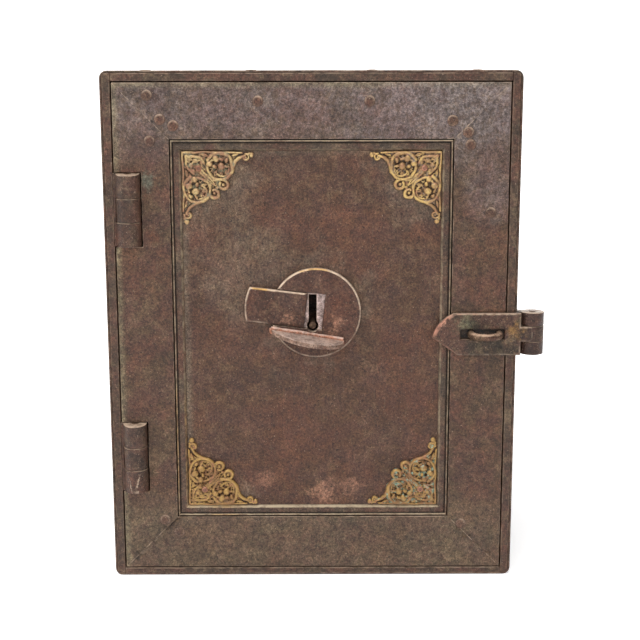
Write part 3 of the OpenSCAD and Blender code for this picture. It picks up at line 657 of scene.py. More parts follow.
# Near-black of dirt in pits, and of painted shade in grooves, at feet and behind the hasp strap's slot.
DIRT_AND_SHADE = colour(20, 14, 11)
PLUM = colour(76, 54, 47)
ROSY = colour(158, 104, 84)
OLIVE = colour(118, 112, 92)
GOLDEN = colour(206, 160, 92)
SCUFF = colour(146, 110, 94)
HALO = colour(128, 124, 112)
# Grey of the painted sheen towards the top of the door plates.
PAINTED_SHEEN = colour(122, 118, 126)
BLUSH = colour(196, 138, 114)
PANEL_SPOTS = [
    ((8, PANEL, 61), 11, SCUFF, 0.7),
    ((27, PANEL, 64), 9, SCUFF, 0.6),
    ((-32, PANEL, 70), 9, SCUFF, 0.4),
    ((-72, PANEL, 282), 46, HALO, 0.25),
    ((74, PANEL, 280), 40, HALO, 0.25),
    ((-48, PANEL, 215), 44, HALO, 0.2),
    ((-50, PANEL, 60), 12, HALO, 0.3),
    ((DISC_X, PANEL, DISC_Z), DISC_R + 9, HALO, 0.35),
]
PANEL_SIDES = [("X", -81, -87, HALO, 0.4), ("Z", 293, 300, HALO, 0.3)]
PLATE_SIDES = [
    ("Z", 66, 46, colour(104, 96, 80), 0.35),
    # Greyer towards the top: painted sheen.
    ("Z", 276, 330, PAINTED_SHEEN, 0.35),
    ("X", -127, -131, OLIVE, 0.6),
    ("Z", 339, 343.5, OLIVE, 0.6),
]
PLATE_SPOTS = [
    # Grey round the upper right corner: painted sheen.
    ((98, FRONT, 336), 80, PAINTED_SHEEN, 0.35),
    ((-110, FRONT, 279), 7, colour(100, 114, 106), 0.5),
    ((-107, FRONT, 242), 6, IRON_RUST, 0.6),
# Near-black round the staple: painted shadow seen through the hasp strap's slot.
] + [((STAPLE_X + x, FRONT, HASP_Z), 8, DIRT_AND_SHADE, 1.0) for x in (-13, -5, 5, 11)]
STRAP_SPOTS = [
    ((STRAP_HIGH[0] - 21, FRONT, HASP_Z + 2), 9, colour(128, 98, 54), 0.6),
    ((STRAP_LOW[0] + 22, FRONT, HASP_Z + 6), 9, colour(106, 112, 92), 0.5),
]
LOCK_SPOTS = [
    ((-16, FRONT, 186), 6, SCUFF, 0.7),
    ((17, FRONT, 183), 6, SCUFF, 0.6),
    ((14, FRONT, 176), 5, SCUFF, 0.5),
]
LOCK_RIMS = [
    ((DISC_X, FRONT, DISC_Z + DISC_R), 12, GOLDEN, 0.8),
    ((DISC_X - 38, FRONT, DISC_Z + 16), 9, GOLDEN, 0.9),
]
MAT = {
    "sheet_iron": iron("old_sheet", colour(54, 41, 34), rusty=0.25, dusty=0.4, worn_and_shaded=0.35, dust_and_top_light=0.3,
                       seed=1),
    "bar_iron": iron("old_bar", colour(68, 55, 46), rusty=0.3, dusty=0.5, worn_and_shaded=0.3, seed=3),
    "plate_iron": iron("old_plate", colour(75, 58, 45), rusty=0.45, dusty=0.35, worn_and_shaded=0.8, rough=0.42,
                       seed=5, sides=PLATE_SIDES, spots=PLATE_SPOTS, front_only=True),
    "panel_iron": iron("old_panel", colour(76, 54, 42), rusty=0.45, dusty=0.3, worn_and_shaded=0.3, rough=0.5,
                       seed=7, sides=PANEL_SIDES, spots=PANEL_SPOTS, front_only=True),
    "moulding_iron": iron("old_moulding", colour(74, 62, 53), pale=colour(178, 160, 132), rusty=0.3,
                          dusty=0.4, worn_and_shaded=0.8, patchy=0.45, seed=9,
                          rubbed=[((-SUNK_X, PANEL, 90), 60, GOLDEN, 0.6)]),
    # Its upper faces, such as the hinge caps, turn strongly pale: dust and painted top light.
    "forged_iron": iron("old_forging", colour(62, 47, 40), rusty=0.35, dusty=0.4, worn_and_shaded=0.9, rough=0.38,
                        patchy=0.25, dust_and_top_light=1.0, seed=11,
                        sides=[("X", 138, 141, colour(50, 34, 32), 0.7)]),
    "strap_iron": iron("old_strap", colour(56, 46, 37), rusty=0.3, dusty=0.6, worn_and_shaded=0.75, patchy=0.4,
                       seed=12, sides=[("X", 142, 144, colour(66, 44, 40), 0.8)], spots=STRAP_SPOTS,
                       rubbed=[((STRAP_LOW[0] + 6, FRONT, HASP_Z), 24, BLUSH, 1.0)]),
    "lock_iron": iron("old_lock", colour(66, 42, 33), pale=colour(204, 180, 156), rusty=0.5, dusty=0.25,
                      worn_and_shaded=1.0, patchy=0.6, seed=13, spots=LOCK_SPOTS, rubbed=LOCK_RIMS,
                      sides=[("Y", -109.4, -108.6, colour(188, 172, 176), 0.95)]),
    "pull_iron": iron("rubbed_pull", colour(138, 114, 104), rust=colour(150, 108, 88),
                      dust=colour(150, 142, 138), pale=colour(202, 178, 164), rusty=0.4, dusty=0.6,
                      worn_and_shaded=0.6, seed=14,
                      sides=[("Y", DISC_FRONT - 3.2, DISC_FRONT - 2.2, colour(168, 108, 82), 0.9)]),
    "rivet_iron": iron("old_rivet", colour(80, 60, 51), rusty=0.35, dusty=0.3, worn_and_shaded=0.55, patchy=0.4,
                       seed=15),
    "inner_iron": iron("dull_iron", colour(58, 48, 43), rusty=0.3, dusty=0.3, worn_and_shaded=0.3, seed=17),
    "worn_steel": iron("rubbed_steel", colour(88, 70, 58), pale=colour(196, 164, 138), rusty=0.4,
                       dusty=0.4, worn_and_shaded=0.65, rough=0.34, metal=0.5, seed=19),

    "copper_rivets": brass("old_copper", colour(172, 122, 98), colour(140, 96, 74),
                           colour(104, 72, 56), ROSY, seed=23),
}


# ------------------------------------------------------------------ box


def outer_shell():
    """The wrapped sheet, a little wavy along its length."""
    loop = round_rectangle(SHELL_LOW[0], SHELL_LOW[2], SHELL_HIGH[0], SHELL_HIGH[2], SHELL_CORNER)
    solid = wrapped(loop, SHELL_THICK, SHELL_LOW[1], SHELL_HIGH[1], bumps=0.35, seed=2)
    piece("wrapped_shell", Shape().add(solid), "box", "sheet_iron", "outer_shell")


def back_plate():
    """The back sheet, slightly pillowed, with its turned flange."""
    low, high = cad("back_plate")
    loop = round_rectangle(low[0], low[2], high[0], high[2], SHELL_CORNER - SHELL_THICK)
    shape = Shape().add(wrapped(loop, BACK_THICK, low[1], high[1] - BACK_THICK / 2, cell=9))
    sheet = slab(inset(loop, 0.02), 0.0, BACK_THICK, top=0.8, cell=9, bumps=0.5, size=70, seed=4)
    shape.add(sheet, facing(high[1] - BACK_THICK, back=True))
    piece("back_sheet", shape, "box", "sheet_iron", "back_plate")


def frame_bars():
    for i, name in enumerate(("left", "right", "top", "bottom")):
        low, high = cad(f"frame_bar_{name}")
        solid = block(low, high, top=0.7, cell=2.5, band=0.3, bumps=0.2, size=16, seed=i * 3.0)
        shape = Shape().add(*solid)
        piece(f"rim_bar_{name}", shape, "box", "bar_iron", f"frame_bar_{name}")


def box_rivets():
    """Heads hammered nearly flush into the wrapped sheet."""
    directions = [(-1, 0, 0), (1, 0, 0), (0, 0, 1), (0, 0, -1)]
    for node_name in ("back_rivets", "frame_rivets", "hinge_leaf_rivets"):
        shape = Shape()
        for low, high in solids(node_name):
            middle = (low + high) / 2
            for way in directions:
                axis = 0 if way[0] else 2
                outside = (SHELL_HIGH if way[axis] > 0 else SHELL_LOW)[axis]
                reached = (high if way[axis] > 0 else low)[axis]
                if abs(reached - outside) < 0.1:
                    middle[axis] = outside
                    head = rivet_head(3.6, 0.5, seed=middle[2])
                    shape.add(head, Matrix.Translation(middle) @ towards(way))
        piece(f"{node_name}_heads", shape, "box", "rivet_iron", node_name)


def hinges():
    """Both hinges: body leaf with two knuckles, and door leaf with the middle one."""
    axis = Matrix.Translation((HINGE_X, FRONT, 0))
    step = HINGE_LEN / 3
    for name, middle in HINGES.items():
        z0 = middle[2] - HINGE_LEN / 2
        low, high = cad(f"{name}_hinge_body_leaf")
        shape = Shape()
        add_calm(shape, (low[0], FRONT, low[2]), (low[0] + 1.5, high[1], high[2]), top=0.2)
        for i in (0, 2):
            start, end = z0 + i * step, z0 + (i + 1) * step
            seed = middle[2] + i
            tube = ring(PIN_R, BARREL_R, start, end, steps=30, segments=96, dent=0.25, seed=seed)
            shape.add(sloped(tube, start, step) if i == 2 else tube, axis)
            add_calm(shape, (low[0], FRONT, start + 0.1), (HINGE_X, FRONT + 6.5, end - 0.1), top=0.3)
        if name == "lower":
            chip_marks(shape, z0)
        node_name = f"{name}_hinge_body_leaf"
        piece(f"{name}_hinge_knuckles", shape, "box", "forged_iron", node_name)
        door_leaf(name, z0 + step + KNUCKLE_GAP, z0 + 2 * step - KNUCKLE_GAP, axis, middle[2] + 9)


def add_calm(shape, low, high, top):
    """Adds a plain block without pale edges."""
    (points, faces, wear), place = block(low, high, top=top, cell=6, band=0)
    shape.add((points, faces, np.minimum(wear, 0.1)), place)


def sloped(tube, start, step):
    """Slopes a knuckle's upper end down towards the front."""
    points, faces, wear = tube
    points = np.array(points)
    points[:, 2] -= CAP_SLOPE * np.maximum(0, -points[:, 1]) * (points[:, 2] - start) / step
    return points, faces, wear


def door_leaf(name, start, end, axis, seed):
    """A hinge's middle knuckle with the strap that joins it to the back of the door."""
    node_name = f"{name}_hinge_door_leaf"
    low, high = cad(node_name)
    shape = Shape().add(ring(PIN_R + PIN_PLAY, BARREL_R, start, end, dent=0.25, seed=seed), axis)
    joint = (HINGE_X, DOOR_BACK, start + 0.1), (high[0], high[1], end - 0.1)
    shape.add(*block(*joint, top=0.3, cell=8))
    notch = HINGE_X + BARREL_R + NOTCH_GAP
    shape.add(*block((notch, DOOR_BACK, low[2]), high, top=0.3, cell=8))
    piece(f"{name}_hinge_middle_knuckle", shape, "door", "forged_iron", node_name)


def chip_marks(shape, z0):
    """Bright chips at the foot of a hinge, which spread upwards in two uneven strokes."""
    points = np.vstack(shape.points)
    across = points[:, 0] - HINGE_X
    facing_out = points[:, 1] < FRONT - 0.5 * BARREL_R
    up = points[:, 2] - z0
    hit = (np.abs(across + 0.4) < 2.9) & (up < 2.4)
    for foot, top, width, reach in ((-2.6, -3.9, 0.5, 9.5), (-0.4, 3.4, 0.7, 14.0)):
        share = up / reach
        near = np.abs(across - foot - (top - foot) * share) < width * (1.5 - share)
        hit |= near & (share < 1)
    marked = np.where(hit & facing_out & (up > 0), 1.0, -9.0)
    start = 0
    for k, part in enumerate(shape.wear):
        shape.wear[k] = np.maximum(part, marked[start : start + len(part)])
        start += len(part)


# ------------------------------------------------------------------ door


def notched():
    """The door's left edge, from its upper corner down, with a notch at each hinge."""
    edge, notch = DOOR_LOW[0], HINGE_X + BARREL_R + NOTCH_GAP
    points = []
    for name in ("upper", "lower"):
        middle, reach = HINGES[name][2], HINGE_LEN / 2 + NOTCH_END
        points += [(edge, middle + reach), (notch, middle + reach)]
        points += [(notch, middle - reach), (edge, middle - reach)]
    return points


def keyhole_outline():
    """The keyhole, clockwise: a round hole with a slot above it."""
    meet = math.degrees(math.acos(KEYHOLE_HALF / KEYHOLE_R))
    low = arc(KEY_X, KEY_Z, KEYHOLE_R, 180 - meet, 360 + meet, 20)
    high = [(KEY_X + KEYHOLE_HALF, KEYHOLE_TOP), (KEY_X - KEYHOLE_HALF, KEYHOLE_TOP)]
    return np.vstack([high, low])[::-1]


def door_panel():
    outline = rectangle(DOOR_LOW[0], DOOR_LOW[2], DOOR_HIGH[0], DOOR_HIGH[2]).tolist() + notched()
    how = {"top": 0.3, "cell": 4, "band": 0, "bumps": 0.22, "size": 34}
    solid = slab(outline, 0.0, DOOR_BACK - PANEL, holes=[keyhole_outline()], **how)
    shape = Shape().add(solid, facing(DOOR_BACK))
    piece("sunk_panel", shape, "door", "panel_iron", "door_panel")


def face_plates():
    """Four mitred plates with a fine worn line along each joint."""
    x0, x1, z0, z1 = DOOR_LOW[0], DOOR_HIGH[0], DOOR_LOW[2], DOOR_HIGH[2]
    outlines = {
        "stile_left": [(x0, z0), (-SUNK_X, SUNK_Z0), (-SUNK_X, SUNK_Z1), (x0, z1)] + notched(),
        "stile_right": [(x1, z0), (x1, z1), (SUNK_X, SUNK_Z1), (SUNK_X, SUNK_Z0)],
        "rail_top": [(x0, z1), (-SUNK_X, SUNK_Z1), (SUNK_X, SUNK_Z1), (x1, z1)],
        "rail_bottom": [(x0, z0), (x1, z0), (SUNK_X, SUNK_Z0), (-SUNK_X, SUNK_Z0)],
    }
    how = {"top": 0.22, "cell": 3.2, "band": 0.3, "bumps": 0.2, "size": 20}
    for i, (name, outline) in enumerate(outlines.items()):
        shape = Shape().add(slab(outline, 0.0, PANEL - FRONT, seed=i * 4.0, **how), facing(PANEL))
        piece(f"{name}_plate", shape, "door", "plate_iron", name)


def door_rivets():
    shape = Shape()
    for solid, place in rivets("door_rivets", (0, -1, 0), rise=0.8):
        proud = 1.0 if place.translation.z > SUNK_Z0 else 0.35
        shape.add(solid, place @ Matrix.Translation((0, 0, -0.6)) @ Matrix.Diagonal((1, 1, proud, 1)))
    piece("face_rivets", shape, "door", "rivet_iron", "door_rivets")
    shape = Shape()
    for solid, place in rivets("door_leaf_rivets", (0, -1, 0), r=2.8, rise=0.3):
        solid = (solid[0], solid[1], 0.25 * np.array(solid[2]))
        shape.add(solid, place @ Matrix.Translation((0, 0, -0.14)))
    piece("leaf_rivet_marks", shape, "door", "rivet_iron", "door_leaf_rivets", look=MAT["plate_iron"])


def mouldings():
    """Four mitred strips: an outer bead, a groove, a flat band and a slope down to the panel."""
    # Edge marks below 0 darken the bead's outer foot, the groove and the slope's foot as painted shade with dirt;
    # the bead's top and the slope are rubbed pale, paler where they look up as painted top light.
    bead = [(0.0, 0.0, -1), (0.7, 0.3, -1), (0.75, 2.2, -0.6)]
    bead += [(0.95, 2.7, 0.7), (1.3, 2.9, 1), (1.7, 2.8, 0.8)]
    groove = [(2.0, 2.3, 0), (2.2, 1.5, -1), (2.6, 1.4, -1), (2.85, 1.9, 0.2)]
    flat = [(3.3, 2.1, 0), (6.0, 2.1, 0)]
    slope = [(6.4, 2.0, 0.7), (6.8, 1.6, 0.9), (7.6, 0.5, 0.8), (8.0, 0.0, -0.6)]
    section = bead + groove + flat + slope
    middle = (SUNK_Z0 + SUNK_Z1) / 2
    tall, wide = (SUNK_Z1 - SUNK_Z0) / 2, SUNK_X
    for i, name in enumerate(("top", "left", "bottom", "right")):
        out, half = (tall, wide) if name in ("top", "bottom") else (wide, tall)
        turn = Matrix.Rotation(-i * math.pi / 2, 4, "Y")
        place = Matrix.Translation((0, PANEL, middle)) @ turn @ Matrix.Translation((0, 0, out)) @ facing(0)
        shape = Shape().add(mitred(section, half, seed=i * 7.0), place)
        node_name = f"moulding_{name}"
        piece(f"panel_{node_name}", shape, "door", "moulding_iron", node_name)


# ------------------------------------------------------------------ corner mounts

MOUNT_REACH = 50.0                 # size of the square that a mount is drawn in
MOUNT_STEP = 0.25
MOUNT_BASE = 0.45                  # thickness of the cast ground under the relief
MOUNT_WARP = 1.1                   # how far the drawing is bent out of true, as by hand
MOUNT_RELIEF = 1.35                # share by which the relief is raised
RIVET_IN = 11.5


class Relief:
    """A height map of cast ornament, drawn from the mount's corner in millimetres."""

    def __init__(self):
        steps = np.arange(0, MOUNT_REACH + MOUNT_STEP, MOUNT_STEP)
        self.side = len(steps)
        self.spots = np.stack(np.meshgrid(steps, steps, indexing="ij"), -1).reshape(-1, 2)
        bend = np.stack([rumple(self.spots, 8, 1.0), rumple(self.spots, 8, 2.0)], 1)
        self.drawn = self.spots + MOUNT_WARP * bend
        self.level = np.full(len(self.spots), -9.0)
        self.height = np.zeros(len(self.spots))

    def rise(self, level, height):
        self.level = np.maximum(self.level, level)
        self.height = np.maximum(self.height, np.where(level > 0, height, 0.0))

    def ground(self, loop):
        apart = distance(self.drawn, loop)[0]
        self.rise(np.where(inside(self.drawn, loop), apart, -apart), MOUNT_BASE)

    def stroke(self, path, start, end, lift):
        """A rounded ridge along a path, whose half width goes from start to end."""
        apart, where = distance(self.drawn, np.asarray(path, float), closed=False)
        width = start + (end - start) * where
        bulge = np.sqrt(np.clip(1 - (apart / width) ** 2, 0, 1))
        self.rise(width - apart, MOUNT_BASE * 0.6 + lift * bulge)

    def ball(self, centre, r, lift):
        apart = np.linalg.norm(self.drawn - centre, axis=1)
        self.rise(r - apart, MOUNT_BASE * 0.6 + lift * np.sqrt(np.clip(1 - (apart / r) ** 2, 0, 1)))

    def leaf(self, start, end, width, lift):
        """A pointed leaf with a groove along its middle."""
        start, end = np.array(start, float), np.array(end, float)
        side = end - start
        length = np.linalg.norm(side)
        along = (self.drawn - start) @ side / length**2
        across = (self.drawn - start) @ np.array([-side[1], side[0]]) / length
        half = width * np.sin(math.pi * np.clip(along, 0, 1) ** 0.8) + 1e-6
        bulge = np.sqrt(np.clip(1 - (across / half) ** 2, 0, 1))
        bulge *= 1 - 0.4 * np.exp(-((across / 0.3) ** 2))
        level = np.where((along > 0) & (along < 1), half - np.abs(across), -1.0)
        self.rise(level, MOUNT_BASE * 0.6 + lift * bulge)

    def chase(self, size, lift):
        """Covers the ground with curly ridges about one size apart."""
        warp = rumple(self.drawn, 4.0, 5.0) * 1.6
        curls = rumple(self.drawn + np.stack([warp, -warp], 1), size, 9.0)
        ridges = np.sqrt(np.clip(1 - np.abs(curls) / 0.3, 0, 1))
        self.height = np.maximum(self.height, np.where(self.level > 0.3, MOUNT_BASE + lift * ridges, 0.0))

    def hole(self, centre, r):
        self.level = np.minimum(self.level, np.linalg.norm(self.drawn - centre, axis=1) - r)

    def soften(self):
        field = self.height.reshape(self.side, self.side)
        near = sum(np.roll(field, s, a) for a in (0, 1) for s in (-1, 1))
        self.height = (0.5 * field + 0.125 * near).reshape(-1)

    def solid(self):
        """The relief as a closed solid, cut along the line where its level is 0."""
        n, level, height = self.side, self.level, self.height
        shown = level.reshape(n, n) > 0
        touched = shown[:-1, :-1] | shown[1:, :-1] | shown[1:, 1:] | shown[:-1, 1:]
        index, points, faces = {}, [], []

        def corner(a):
            if a not in index:
                index[a] = len(points)
                points.append((*self.spots[a], height[a]))
            return index[a]

        def crossing(a, b):
            a, b = min(a, b), max(a, b)
            if (a, b) not in index:
                share = np.clip(level[a] / (level[a] - level[b]), 0.03, 0.97)
                place = self.spots[a] + share * (self.spots[b] - self.spots[a])
                index[(a, b)] = len(points)
                points.append((*place, MOUNT_BASE * 0.5))
            return index[(a, b)]

        for i, j in zip(*np.nonzero(touched)):
            corners = [i * n + j, (i + 1) * n + j, (i + 1) * n + j + 1, i * n + j + 1]
            face = []
            for a, b in zip(corners, corners[1:] + corners[:1]):
                if level[a] > 0:
                    face.append(corner(a))
                if (level[a] > 0) != (level[b] > 0):
                    face.append(crossing(a, b))
            faces.append(face)
        ways = {(a, b) for face in faces for a, b in zip(face, face[1:] + face[:1])}
        count = len(points)
        walls = [(b, a, a + count, b + count) for a, b in ways if (b, a) not in ways]
        # Painted relief shade: a point turns darker where it lies below the mean height round it, and brighter
        # where above.
        local = self.height.reshape(n, n)
        for _ in range(3):
            local = sum(np.roll(np.roll(local, a, 0), b, 1) for a in (-2, 0, 2) for b in (-2, 0, 2)) / 9
        shade = dict(enumerate(np.clip(0.48 + 1.1 * (height - local.reshape(-1)), 0, 1)))
        points = np.array(points) * (1, 1, MOUNT_RELIEF)
        sunk = points.copy()
        sunk[:, 2] = -0.25
        tops = np.array([shade.get(key, 0.0) for key in index])
        faces = faces + walls + [[i + count for i in face[::-1]] for face in faces]
        return np.vstack([points, sunk]), faces, np.concatenate([tops, np.zeros(count)])


def spiral(centre, start, end, r0, r1, n=26):
    """Points of a spiral between two angles in degrees, from radius r0 to r1."""
    angles, radii = np.radians(np.linspace(start, end, n)), np.linspace(r0, r1, n)
    return np.stack([centre[0] + radii * np.cos(angles), centre[1] + radii * np.sin(angles)], 1)


def mount_half(relief, swap, fine):
    """One medallion with berries and leaves, its tail along the moulding, and one outer curl."""

    def at(path):
        path = np.asarray(path, float)
        return path[..., ::-1] if swap else path

    middle = np.array((25.4, 10.2))
    relief.ground(at(arc(*middle, 9.3, 0, 352, 45)))
    scroll = np.vstack([arc(*middle, 8.9, -150, 120, 36), spiral(middle, 128, 290, 8.7, 5.2, 24)])
    relief.stroke(at(scroll), 1.6, 1.1, 1.6)
    relief.stroke(at([(0.9, 0.9), (40, 0.9)]), 1.0, 0.8, 0.95)
    relief.ground(at([(30, 0.3), (39, 0.3), (36.5, 3.6), (34.4, 9.0), (31, 8)]))
    relief.stroke(at([(33.6, 14.0), (34.6, 10.4), (35.9, 7.2), (38.1, 4.6), (41.2, 3.2)]), 1.5, 1.1, 1.35)
    relief.ground(at(arc(42.6, 3.9, 2.6, 0, 340, 20)))
    relief.stroke(at(spiral((42.7, 4.1), -100, 250, 2.4, 1.2)), 0.9, 0.75, 1.15)
    relief.ball(at((42.8, 4.3)), 1.1, 1.1)
    relief.ball(at((46.9, 2.7)), 1.8, 1.3)
    relief.ball(at((44.9, 1.9)), 1.3, 1.0)
    berries = [(22.8, 4.6, 2.6), (18.9, 8.2, 2.4), (26.4, 9.4, 2.8), (30.2, 6.0, 2.0), (22.0, 10.0, 1.7)]
    for x, y, r in berries:
        relief.ball(at((x, y)), r, 2.2)
    relief.stroke(at(spiral((28.4, 11.8), 160, -120, 5.6, 2.0)), 1.1, 0.9, 1.35)
    leaves = [
        ((21.0, 11.0), (17.9, 14.8), 1.5),
        ((23.6, 12.4), (21.9, 17.6), 1.6),
        ((26.8, 13.0), (26.6, 18.4), 1.6),
        ((29.6, 12.2), (31.4, 16.4), 1.5),
        ((29.8, 9.8), (34.0, 11.4), 1.4),
        ((27.6, 5.0), (31.0, 2.6), 1.4),
        ((20.0, 9.2), (16.2, 11.4), 1.1),
        ((12.6, 2.8), (18.2, 3.6), 1.2),
        ((33.6, 3.2), (38.4, 1.9), 0.9),
        ((24.8, 2.6), (28.2, 4.6), 0.9),
        ((32.4, 6.2), (34.6, 4.0), 0.8),
    ]
    if fine:
        leaves += [
            ((24.8, 10.8), (28.6, 9.2), 0.9),
            ((22.4, 8.6), (20.4, 5.6), 0.8),
            ((29.6, 5.6), (32.4, 8.6), 0.8),
            ((8.0, 2.2), (11.4, 4.6), 1.0),
            ((18.2, 11.6), (19.4, 16.2), 0.9),
        ]
    for start, end, width in leaves:
        relief.leaf(at(start), at(end), width, 1.3)
    relief.stroke(at([(4.6, 4.0), (8.2, 3.2), (11.8, 4.6), (15.4, 7.8)]), 1.4, 1.1, 1.3)
    relief.leaf(at((3.0, 2.8)), at((8.8, 6.6)), 1.5, 1.4)
    relief.ball(at((6.4, 9.4)), 2.0, 1.5)
    relief.ball(at((13.4, 7.6)), 1.7, 1.3)
    relief.ball(at((10.2, 6.6)), 1.5, 1.3)
    relief.stroke(at([(13.8, 12.8), (16.8, 16.6), (20.6, 19.4), (25.6, 19.4)]), 1.5, 1.3, 1.4)
    relief.ground(at(arc(27.7, 22.4, 3.6, 0, 340, 20)))
    relief.stroke(at(spiral((27.9, 22.3), -110, 210, 3.4, 2.2)), 1.35, 1.1, 1.45)
    relief.ball(at((27.8, 22.4)), 1.4, 1.4)


def mount_relief(fine):
    relief = Relief()
    half = [(0, 0), (38, 0), (34, 5), (26, 14), (27.5, 21)]
    mirrored = [(y, x) for x, y in half[:0:-1]]
    relief.ground(np.array(half + [(24.6, 24.6)] + mirrored))
    for swap in (False, True):
        mount_half(relief, swap, fine)
    relief.ball((RIVET_IN, RIVET_IN), 3.5, 0.9)
    relief.stroke(arc(RIVET_IN, RIVET_IN, 5.2, 150, 300, 24), 0.9, 0.9, 1.2)
    relief.leaf((13.8, 13.8), (23.4, 23.4), 2.4, 1.6)
    relief.leaf((20.4, 17.2), (24.0, 19.8), 1.3, 1.3)
    relief.leaf((17.2, 20.4), (19.8, 24.0), 1.3, 1.3)
    relief.ball((24.2, 24.2), 1.3, 1.2)
    relief.ball((3.8, 3.8), 1.7, 1.2)
    relief.chase(2.0 if fine else 3.2, 0.9 if fine else 0.5)
    holes = [(21.6, 7.2, 0.8), (28.6, 7.0, 0.75), (24.2, 13.9, 0.5), (31.2, 11.0, 0.5), (19.2, 12.6, 0.5)]
    for x, y, r in holes:
        relief.hole((x, y), r)
        relief.hole((y, x), r)
    relief.soften()
    return relief.solid()


def corner_mounts():
    """Four pierced castings; each corner has its own state of gilding."""
    solids_by_detail = {fine: mount_relief(fine) for fine in (False, True)}
    # Colours are bright, dull, hollow (dark patina with painted shade), patina, and patina's share.
    looks = {
        ("top", "left"): ((190, 162, 112), (146, 110, 82), (66, 48, 34), (124, 126, 104), 0.7),
        ("top", "right"): ((194, 162, 102), (154, 120, 82), (62, 44, 30), (150, 138, 130), 0.4),
        ("bottom", "left"): ((166, 132, 76), (138, 102, 62), (80, 56, 34), (138, 108, 80), 0.3),
        ("bottom", "right"): ((162, 128, 74), (134, 98, 62), (84, 62, 42), (134, 158, 140), 1.0),
    }
    for i, ((up, side), (bright, dull, hollow, patina, share)) in enumerate(looks.items()):
        tones = [colour(*tone) for tone in (bright, dull, hollow, patina)]
        look = brass(f"brass_{up}_{side}", *tones, share, seed=31 + 2 * i)
        points, faces, tops = solids_by_detail[up == "bottom"]
        right, down = (1 if side == "right" else -1), (1 if up == "bottom" else -1)
        level = INNER_Z0 if up == "bottom" else INNER_Z1
        x, up_from_edge, rise = points.T
        placed = np.column_stack([right * (INNER_X - x), PANEL - rise, level + down * up_from_edge])
        shape = Shape().add((placed, faces, tops))
        name = f"corner_mount_{up}_{side}"
        piece(f"cast_{name}", shape, "door", "gilt_brass", name, look=look, sharp=60)
    shape = Shape()
    for solid, place in rivets("corner_mount_rivets", (0, -1, 0), r=2.15, rise=1.2):
        shape.add(solid, place @ Matrix.Translation((0, 0, -0.75)))
    piece("mount_rivet_heads", shape, "door", "copper_rivets", "corner_mount_rivets")


# ------------------------------------------------------------------ lock

slide = next(j for j in frame["joints"] if j["name"] == "shutter_slide")["axis"]
SLOT_TILT = math.atan2(-slide[2], slide[0])
SLOT_LIFT = 0.9
SLOT_HALF = 12.3
SLOT_END = 5.2
SLOT_FLOOR = 1.0                   # thickness of the disc under its slot
SHUTTER_HALF = 12.0
SHUTTER_LEN = 42.0
SHUTTER_END = -7.0
SHUTTER_ARC = 33.0


def slot_place(y):
    """Stands a slab drawn along the shutter's slot in front of the panel."""
    turn = Matrix.Rotation(SLOT_TILT, 4, "Y")
    return Matrix.Translation((DISC_X, y, DISC_Z)) @ turn @ facing(0)


def lock_disc():
    """The disc's upper layer, open where the shutter slides, and its thin floor with the keyhole."""
    upper, lower = SLOT_LIFT + SLOT_HALF, SLOT_LIFT - SLOT_HALF
    start = math.degrees(math.atan2(lower, -math.sqrt(DISC_R**2 - lower**2))) % 360
    end = math.degrees(math.asin(-upper / DISC_R)) + 540
    dx, dz = KEY_X - DISC_X, KEY_Z - DISC_Z
    key_s = dx * math.cos(SLOT_TILT) - dz * math.sin(SLOT_TILT)
    key_t = dx * math.sin(SLOT_TILT) + dz * math.cos(SLOT_TILT)
    bite = math.degrees(math.asin((lower - key_t) / KEYHOLE_R))
    outline = np.vstack([
        arc(0, 0, DISC_R, start, end, 72),
        [(SLOT_END, upper), (SLOT_END, lower)],
        arc(key_s, key_t, KEYHOLE_R, bite, -180 - bite, 10),
    ])
    how = {"top": 1.2, "cell": 2.5, "band": 0.15, "bumps": 0.12, "size": 12}
    points, faces, wear = slab(outline, SLOT_FLOOR - 0.2, PANEL - DISC_FRONT, **how)
    wear = np.where(np.hypot(points[:, 0], points[:, 1]) < DISC_R - 2, np.minimum(wear, 0.0), wear)
    shape = Shape().add((points, faces, wear), slot_place(PANEL))
    round_loop = arc(DISC_X, DISC_Z, DISC_R - 0.3, 0, 355, 72)
    shape.add(slab(round_loop, 0.0, SLOT_FLOOR, [keyhole_outline()], top=0.15, cell=3), facing(PANEL))
    piece("lock_escutcheon", shape, "door", "lock_iron", "lock_disc")


def keyhole_shutter():
    low, high = SLOT_LIFT - SHUTTER_HALF, SLOT_LIFT + SHUTTER_HALF
    start = SHUTTER_END - SHUTTER_LEN
    meet = math.degrees(math.asin(SHUTTER_HALF / SHUTTER_ARC))
    left = arc(start + SHUTTER_ARC, SLOT_LIFT, SHUTTER_ARC, 180 - meet, 180 + meet, 14)
    outline = np.vstack([left, [(SHUTTER_END, low), (SHUTTER_END, high)]])
    how = {"top": 0.9, "under": 0.3, "cell": 2.0, "bumps": 0.1, "size": 9, "seed": 3}
    points, faces, wear = slab(outline, 0.35 + SLOT_FLOOR, PANEL - DISC_FRONT, **how)
    covered = (points[:, 1] < SLOT_LIFT) & (points[:, 0] > -DISC_R)
    covered |= points[:, 0] > SHUTTER_END - 1.5
    wear = np.where(covered, 0.15 * np.array(wear), wear)
    shape = Shape().add((points, faces, wear), slot_place(PANEL))
    piece("sliding_cover", shape, "keyhole_shutter", "lock_iron", "keyhole_shutter")


